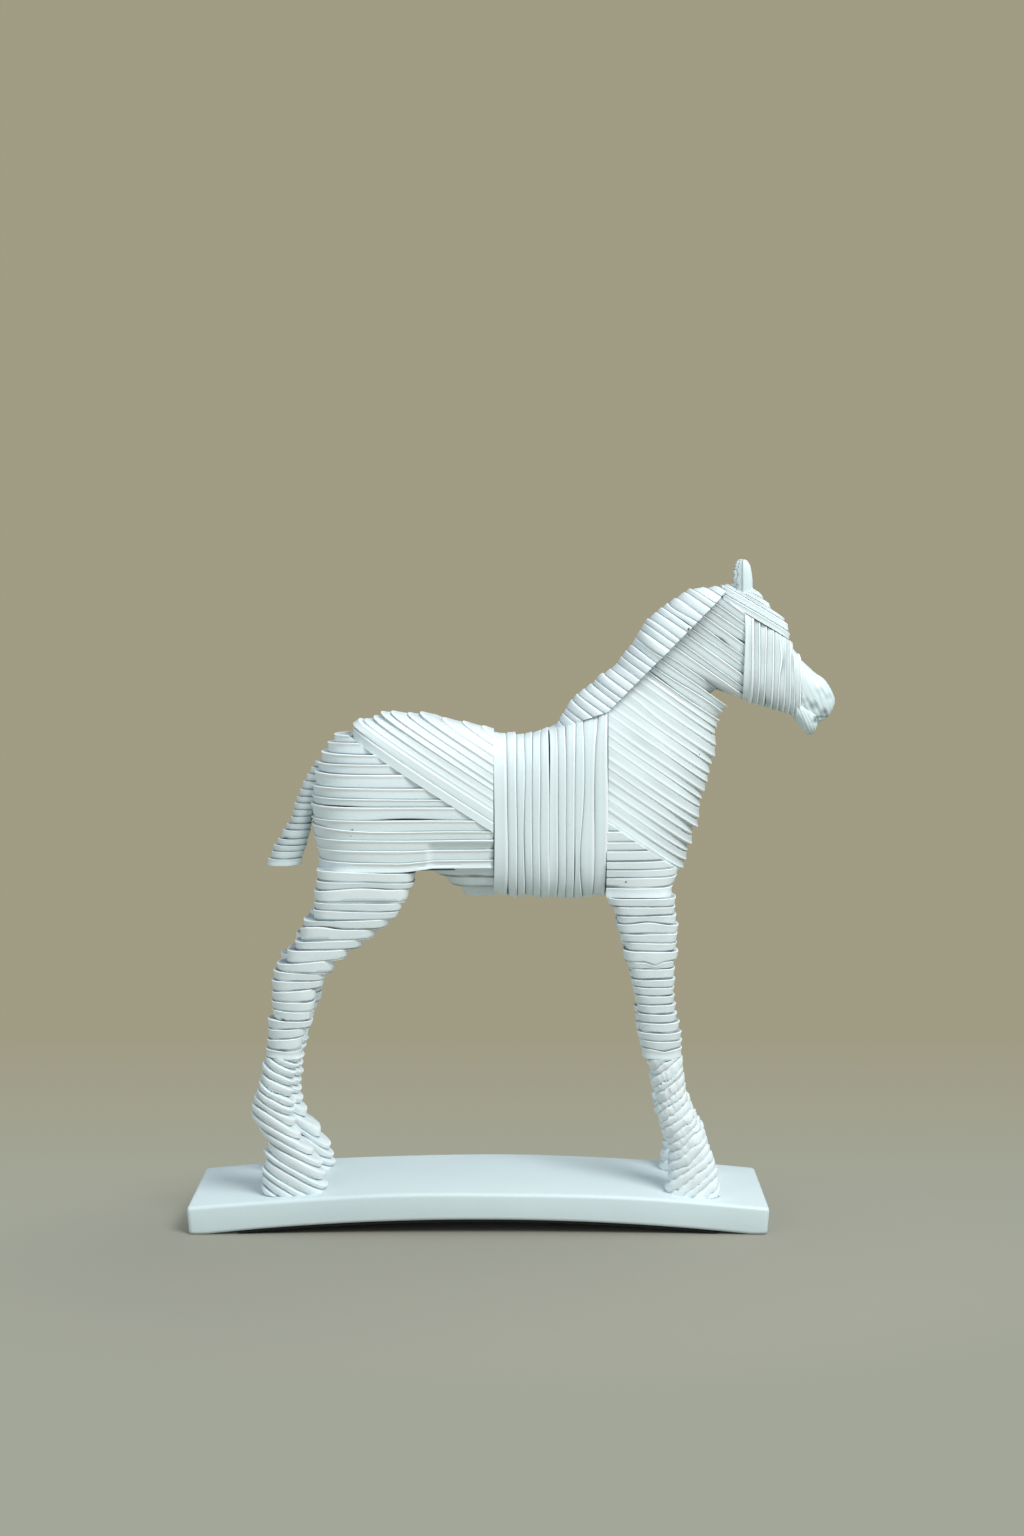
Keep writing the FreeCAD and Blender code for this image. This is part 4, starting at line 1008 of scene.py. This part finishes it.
fore_back = [
    (-0.486, -0.3), (-0.486, -0.075), (-0.473, 0), (-0.419, 0.057), (-0.419, 0.116), (-0.459, 0.152),
    (-0.527, 0.182), (-0.581, 0.212), (-0.608, 0.248), (-0.608, 0.284), (-0.649, 0.331), (-0.689, 0.379),
    (-0.716, 0.415), (-0.784, 0.451), (-0.865, 0.481), (-0.892, 0.522), (-0.905, 0.582), (-0.919, 0.63),
    (-0.973, 0.666), (-1.014, 0.707), (-1.054, 0.749), (-1.122, 0.797), (-1.149, 0.839), (-1.23, 0.875),
    (-1.23, 0.916), (-1.297, 0.958), (-1.378, 0.994), (-1.392, 1.05)]
fore_front = [
    (0.365, -0.3), (0.365, 0), (0.311, 0.045), (0.257, 0.093), (0.203, 0.134), (0.095, 0.176),
    (0.027, 0.212), (-0.041, 0.248), (-0.122, 0.29), (-0.176, 0.325), (-0.203, 0.367), (-0.23, 0.409),
    (-0.257, 0.451), (-0.262, 0.499), (-0.289, 0.54), (-0.33, 0.588), (-0.357, 0.63), (-0.37, 0.678),
    (-0.378, 0.761), (-0.351, 0.803), (-0.351, 0.845), (-0.386, 0.881), (-0.351, 0.922), (-0.373, 0.964),
    (-0.397, 1), (-0.397, 1.05)]
fore_width_shares = [
    (0, 0.92), (0.15, 0.75), (0.3, 0.7), (0.45, 0.7), (0.69, 0.79), (0.87, 0.88), (1, 0.98)]
fore_stance = [(0, 1), (0.5, 1), (0.7, 0.97), (0.87, 0.91), (1, 0.84)]
sole_drop_share = 0.6
pastern_place_shares = (-0.34, 0.08)
fetlock_place_shares = (0.38, -0.86)
sole_level = crown - plinth_thickness * sole_drop_share


# A side is -1 on the right and 1 on the left.
class Leg:
    def __init__(self, name, foot_x, height, length, back_shares, front_shares, widths, stance):
        self.name = name
        self.top = crown + height
        self.foot_x = foot_x
        self.length = length
        self.back, self.front = outlines(foot_x, crown, length, height, back_shares, front_shares)
        self.widths = widths
        self.stance = stance

    def zone(self, side, tilt, low, high, stretch, top_oval, **looks):
        widths = [(share * stretch, half) for share, half in self.widths]
        places = [(share * stretch, side * half_stance * size) for share, size in self.stance]
        return Zone(
            tilt, self.back, self.front, widths, low, high, oval_section(*leg_oval), places,
            high_section=oval_section(*top_oval), depth=leg_strip_depth, **looks)

    def names(self, half, side):
        word = "right" if side < 0 else "left"
        return [self.name + half + kind + word for kind in ("_strips_", "_wrap_")]

    def upper(self, rng, side, count, spread, fray, **looks):
        zone = self.zone(side, 0, crown, self.top, 1, leg_top_oval, **looks)
        levels = uneven_levels(rng, seam, self.top, count, spread)
        wind_piece(*self.names("_upper", side), zone, levels, rng, wave=0.03, stray=0.4, rough=0.015,
                   pinch=0.1, part=0.15, dirt=1.0, sway=spread / 2, fray=fray)

    def lower(self, rng, side, count, tilt, place_shares, rough, **looks):
        low_x, high_x = [self.foot_x + self.length * share for share in place_shares]
        low = level_of((low_x, sole_level), tilt)
        high = level_of((high_x, seam), tilt)
        stretch = (self.top - crown) / (seam - crown)
        zone = self.zone(side, tilt, low, high, stretch, leg_oval, **looks)
        sole_point = (self.foot_x, 0, top_surface(self.foot_x))
        cuts = [((0, 0, seam), (0, 0, 1)), (sole_point, (0, 0, -1), sole_overlap)]
        levels = uneven_levels(rng, low, high, count)
        wind_piece(*self.names("_lower", side), zone, levels, rng, cuts, profile=plank_profile,
                   wave=0.08, stray=0.3, rough=rough, pinch=0.4, part=0.0, dirt=0.25, fray=0.35)


def make_legs():
    hind = Leg("hind", hind_foot_x, leg_height, thigh_length, hind_back, hind_front,
               scaled(thigh_width, hind_width_shares), hind_stance)
    fore = Leg("fore", fore_foot_x, leg_height - elbow_drop, forearm_length, fore_back,
               fore_front, scaled(forearm_width, fore_width_shares), fore_stance)
    for side in (-1, 1):
        rng = np.random.default_rng(30 + side)
        hind.upper(rng, side, thigh_strips, spread=0.22, fray=0.45, follow=0.2, lip_size=0.7)
        hind.lower(rng, side, pastern_shown_strips, pastern_tilt, pastern_place_shares, rough=0.03,
                   end_swells=(2.3, 1.5), follow=0.35, lip_size=0.95)
        fore.upper(rng, side, forearm_strips, spread=0.12, fray=0.6, follow=0.0, lip_size=0.75)
        fore.lower(rng, side, fetlock_shown_strips, fetlock_tilt, fetlock_place_shares, rough=0.16,
                   end_swells=(1.0, 1.3), follow=0.65, lip_size=0.38)


# Muzzle rings: place, lower and upper level and width shares
muzzle_ring_shares = [
    (0, -0.19, 0.355, 1), (0.22, -0.24, 0.29, 1), (0.45, -0.235, 0.225, 0.97), (0.7, -0.205, 0.17, 0.88),
    (0.88, -0.15, 0.09, 0.68), (1, -0.07, 0.01, 0.3)]
lip_ring_shares = [
    (-0.12, -0.2, 0, 0.96), (0.02, -0.25, 0, 0.99), (0.15, -0.31, -0.02, 1), (0.28, -0.335, -0.04, 0.98),
    (0.41, -0.325, -0.08, 0.92), (0.49, -0.27, -0.15, 0.74)]
muzzle_length = head_length - cheek_length
ring_count = 64
muzzle_oval = (96, 2.3, 1.4)
lip_oval = (80, 2.3, 1.4)

# Dents: place share, level share, size, depth and the painted shade in them
dent_shares = [
    (0.34, -0.075, 2.6, 1.3, 0.6), (0.66, -0.13, 2.1, 1.1, 0.7), (0.42, -0.2, 1.6, 1.2, 1.1),
    (0.12, -0.02, 2.2, 0.5, 0.3), (0.8, 0.01, 2.2, 0.7, 0.3), (0.55, 0.06, 2.6, 0.5, 0.2)]
mouth_level_share = -0.17
mouth_start = 6.0
mouth_fade = 4.0
mouth_width = 0.8
mouth_depth = 0.6
mouth_shade = 0.6
deepest_share = 0.6
ridge_pitch = 3.6
ridge_depth = 0.22
ridge_slant = 0.45
ridge_shade = 0.15
ridge_shade_start = 0.6


# Even rows on a smooth curve through the given ones.
def smooth_rings(shares, count):
    shares = np.array(shares)
    place = np.linspace(0, len(shares) - 1, count)
    low = np.clip(np.floor(place).astype(int), 0, len(shares) - 2)
    t = (place - low)[:, None]
    before = shares[np.clip(low - 1, 0, len(shares) - 1)]
    start, end = shares[low], shares[low + 1]
    after = shares[np.clip(low + 2, 0, len(shares) - 1)]
    return 0.5 * (2 * start + (end - before) * t + (2 * before - 5 * start + 4 * end - after) * t ** 2
                  + (3 * start - before - 3 * end + after) * t ** 3)


def loft(bm, rings):
    grid = [[bm.verts.new(np.asarray(point) * metre) for point in ring] for ring in rings]
    for lower, upper in zip(grid, grid[1:]):
        bridge(bm, lower, upper)
    bm.faces.new(list(reversed(grid[0])))
    bm.faces.new(grid[-1])
    return grid


def head_rings(shares, oval):
    section = oval_section(*oval)
    out = []
    for place, under, over, width in smooth_rings(shares, ring_count):
        x = muzzle_x + muzzle_length * place
        bottom, top = jaw_level + head_height * under, jaw_level + head_height * over
        out.append([(x, muzzle_width / 2 * width * b, (bottom + top) / 2 + (top - bottom) / 2 * a)
                    for a, b in section])
    return out


def make_muzzle():
    bm = new_strips()
    loft(bm, head_rings(muzzle_ring_shares, muzzle_oval))
    trim(bm, (muzzle_x, 0, 0), backward, -muzzle_gap)
    loft(bm, head_rings(lip_ring_shares, lip_oval))
    painted_light = bm.verts.layers.float["painted_light"]
    mouth_z = jaw_level + head_height * mouth_level_share
    for vert in bm.verts:
        x, y, z = vert.co / metre
        sink, painted_shade = 0.0, 0.0
        for place, level, size, depth, dark in dent_shares:
            near_x = x - muzzle_x - muzzle_length * place
            near_z = z - jaw_level - head_height * level
            near = math.exp(-(near_x ** 2 + near_z ** 2) / size ** 2)
            sink, painted_shade = sink + depth * near, painted_shade + dark * near
        slot = math.exp(-((z - mouth_z) / mouth_width) ** 2)
        slot *= min(max((x - muzzle_x - mouth_start) / mouth_fade, 0), 1)
        ridge = math.sin(2 * math.pi * (x + z * ridge_slant) / ridge_pitch)
        sink += mouth_depth * slot + ridge_depth * ridge
        vert.co.y -= math.copysign(min(sink, abs(y) * deepest_share), y) * metre
        # Painted shade in the dents, in the mouth slot and in the deepest part of each ridge groove.
        painted_shade += slot * mouth_shade + ridge_shade * (ridge > ridge_shade_start)
        vert[painted_light] = min(painted_shade, 1.0)
    finish_piece(bm, "muzzle_block", ["muzzle"], smooth_paint, crease=60)


# Ears: the plan is a leaf with a hollow back, and a ring has its rise, lean and size shares.
ear_plan = [(-1, -0.75), (-0.3, -1), (0.6, -0.8), (1, 0), (0.6, 0.8), (-0.3, 1), (-1, 0.75)]
ear_cup_shares = [(-0.8, 0.42), (0.3, 0.42), (0.3, -0.42), (-0.8, -0.42)]
ear_ring_shares = [
    (-0.25, 0.02, 0.86), (0.25, 0.04, 0.92), (0.55, 0.02, 0.88), (0.8, 0, 0.72), (0.94, -0.02, 0.46),
    (1, -0.03, 0.2)]
ear_rings = 34
ear_points = 72
ear_rag = 0.16
ear_rag_place = -0.5
ear_groove_place = -0.38
ear_groove_width = 0.09
ear_groove_depth = 0.7
ear_groove_shade = 0.8
ear_back_shade = 0.35
ear_rim_share = 0.5


def make_ears():
    for side, word in ((-1, "right"), (1, "left")):
        rng = np.random.default_rng(40 + side)
        plan = cut_corners(np.array(ear_plan + ear_cup_shares), ear_corner_cut)
        plan = even_samples(plan, ear_points)
        rings = []
        for rise, lean, size in smooth_rings(ear_ring_shares, ear_rings):
            centre = np.array((cheek_x + ear_breadth * lean, side * ear_spacing / 2,
                               poll_level - ear_sink + ear_height * rise))
            ragged = 1 + ear_rag * rng.uniform(-1, 1) * (plan[:, 0] < ear_rag_place)
            rings.append([centre + (ear_breadth / 2 * size * a * r, ear_depth / 2 * size * b, 0)
                          for (a, b), r in zip(plan, ragged)])
        bm = new_strips()
        grid = loft(bm, rings)
        painted_light = bm.verts.layers.float["painted_light"]
        for ring in grid:
            for vert, (a, b) in zip(ring, plan):
                groove = math.exp(-((a - ear_groove_place) / ear_groove_width) ** 2)
                inward = math.copysign(min(groove, 1) * ear_groove_depth * metre, b)
                vert.co.y -= inward * (abs(b) > ear_rim_share)
                # Painted shade in the groove and over the back part of the ear behind it.
                vert[painted_light] = ear_groove_shade * groove + ear_back_shade * (a < ear_groove_place)
        finish_piece(bm, "ear_leaf_" + word, ["ear_" + word], smooth_paint, crease=50)


# Plinth: a rounded slab swept along the arch, hollow below and faintly rippled on top.
def make_plinth():
    rng = np.random.default_rng(50)
    half_depth = (plinth_high[1] - plinth_low[1]) / 2
    half_thickness = plinth_thickness / 2
    end_angle = math.asin(plinth_length / 2 / arch_radius)
    turns = np.linspace(0, math.pi / 2, edge_steps)
    inset = plinth_edge * (1 - np.sin(turns))
    run_in = plinth_edge / arch_radius * (1 - np.cos(turns))
    middle = np.linspace(-end_angle * slab_slices_share, end_angle * slab_slices_share, slab_slices)
    angles = np.concatenate((-end_angle + run_in, middle, end_angle - run_in[::-1]))
    insets = np.concatenate((inset, np.zeros(slab_slices), inset[::-1]))
    rings = []
    phase = rng.uniform(0, 6, 4)
    for angle, trim_size in zip(angles, insets):
        half_y = half_depth - trim_size
        half_z = half_thickness - trim_size
        ring = []
        for side_y, side_z, corner in ((1, 1, turns), (-1, 1, turns[::-1]), (-1, -1, turns),
                                       (1, -1, turns[::-1])):
            ring += [(side_y * (half_y - plinth_edge * (1 - math.cos(turn))),
                      side_z * (half_z - plinth_edge * (1 - math.sin(turn)))) for turn in corner]
        points = []
        for y, z in ring:
            reach = arch_radius + half_thickness + z
            x = plinth_centre_x + reach * math.sin(angle)
            height = arch_centre_z + reach * math.cos(angle)
            if z > 0:
                waves = math.sin(x / ripple_length_x + phase[0]) * math.cos(y / ripple_width_y + phase[1])
                height -= surface_ripple * (1 + waves)
            else:
                foot_reach = arch_radius + half_thickness - half_z
                slab_foot = arch_centre_z + foot_reach * math.cos(angle)
                height = hollow_height(x) + max(height - slab_foot, 0.0)
            points.append((x, y, max(height, 0.0)))
        rings.append(points)
    bm = new_strips()
    loft(bm, rings)
    finish_piece(bm, "plinth_slab", ["plinth"], smooth_paint, crease=35)


make_haunch()
make_croup()
make_belly()
make_barrel()
make_brisket()
make_neck()
make_head()
make_tail()
make_legs()
make_muzzle()
make_ears()
make_plinth()

# Carried-over inner pieces
inner_materials = {"core": core_timber, "dowel": dowel_timber, "peg": dowel_timber,
                   "wire": steel_wire, "lining": black_felt}
for name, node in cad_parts.items():
    for word, material in inner_materials.items():
        if word in name:
            node.data.materials.clear()
            node.data.materials.append(material)

# Floor and background, in metres
floor_size = 14.0
floor_corners = 96
floor_colour = (0.305, 0.30, 0.25)
floor_front_colour = (0.366, 0.384, 0.318)
floor_roughness = 0.9
floor_specular = 0.2
backdrop_colour = (0.354, 0.330, 0.228)
backdrop_places = (0.0, 0.45)
shadow_shift = (0, 0.08, 0)
shadow_squash = (0.55, 1, 1)
shadow_fade_places = (0.09, 0.20)
sky_colour = (0.84, 0.93, 1.0)
sky_strength = 0.44

# Lamps: name, place, size, power and colour
lamp_target = (0, 0, 0.2)
lamps = [
    ("key", (0.85, -1.0, 1.5), 0.8, 33, (1.0, 1.0, 0.98)),
    ("top", (0.2, 0.1, 1.8), 1.2, 4, (0.97, 0.99, 1.0)),
    ("fill", (-1.3, -1.2, 0.9), 1.2, 6, (0.9, 0.96, 1.0))]


# The floor takes shadows round the figure and fades to even light further out.
def make_floor():
    paper = Shader(bpy.data.materials.new("floor_paper"))
    spot = paper.nodes.new("ShaderNodeMapping")
    paper.feed(spot, {"Location": shadow_shift, "Scale": shadow_squash}, {"Vector": paper.where})
    length = paper.nodes.new("ShaderNodeVectorMath")
    length.operation = "LENGTH"
    paper.feed(length, {}, {0: spot.outputs["Vector"]})
    paper.feed(paper.surface, {"Base Color": (*floor_colour, 1), "Roughness": floor_roughness,
                               "Specular IOR Level": floor_specular}, {})
    split = paper.feed(paper.nodes.new("ShaderNodeSeparateXYZ"), {}, {0: paper.where})
    depth = paper.ramp(split.outputs["Y"], backdrop_places, floor_front_colour, backdrop_colour)
    far = paper.feed(paper.nodes.new("ShaderNodeEmission"), {}, {"Color": depth})
    fade = paper.ramp(length.outputs["Value"], shadow_fade_places, black, white, "EASE")
    paper.show_mix(fade, paper.surface.outputs["BSDF"], far.outputs["Emission"], "Material Output")
    bm = bmesh.new()
    bm.faces.new([bm.verts.new((floor_size / 2 * math.cos(k), floor_size / 2 * math.sin(k), 0))
                  for k in np.linspace(0, 2 * math.pi, floor_corners, endpoint=False)])
    mesh = bpy.data.meshes.new("floor")
    bm.to_mesh(mesh)
    bm.free()
    mesh.materials.append(paper.owner)
    floor = add_object("floor", mesh)


# The camera sees the backdrop's colour, and the figure gets a bluish fill.
def make_world():
    world = bpy.data.worlds.new("studio")
    bpy.context.scene.world = world
    sky = Shader(world)
    fill, seen = sky.nodes["Background"], sky.nodes.new("ShaderNodeBackground")
    sky.feed(fill, {"Color": (*sky_colour, 1), "Strength": sky_strength}, {})
    sky.feed(seen, {"Color": (*backdrop_colour, 1), "Strength": 1.0}, {})
    path = sky.nodes.new("ShaderNodeLightPath")
    sky.show_mix(path.outputs["Is Camera Ray"], fill.outputs["Background"],
                 seen.outputs["Background"], "World Output")


def area_light(name, place, size, power, colour):
    light = bpy.data.lights.new(name, "AREA")
    light.shape = "SQUARE"
    light.size = size
    light.energy = power
    light.color = colour
    lamp = add_object(name, light)
    lamp.location = place
    facing = Vector(lamp_target) - Vector(place)
    lamp.rotation_euler = facing.to_track_quat("-Z", "Y").to_euler()


def make_camera():
    data = bpy.data.cameras.new("camera")
    data.lens = camera_lens
    data.sensor_fit = "AUTO"
    data.sensor_width = camera_sensor
    camera = add_object("camera", data)
    camera.location = camera_place
    camera.rotation_euler = (math.radians(90 - camera_pitch), 0, 0)
    bpy.context.scene.camera = camera


make_floor()
make_world()
for lamp in lamps:
    area_light(*lamp)
make_camera()
bpy.context.scene.view_settings.view_transform = "Standard"
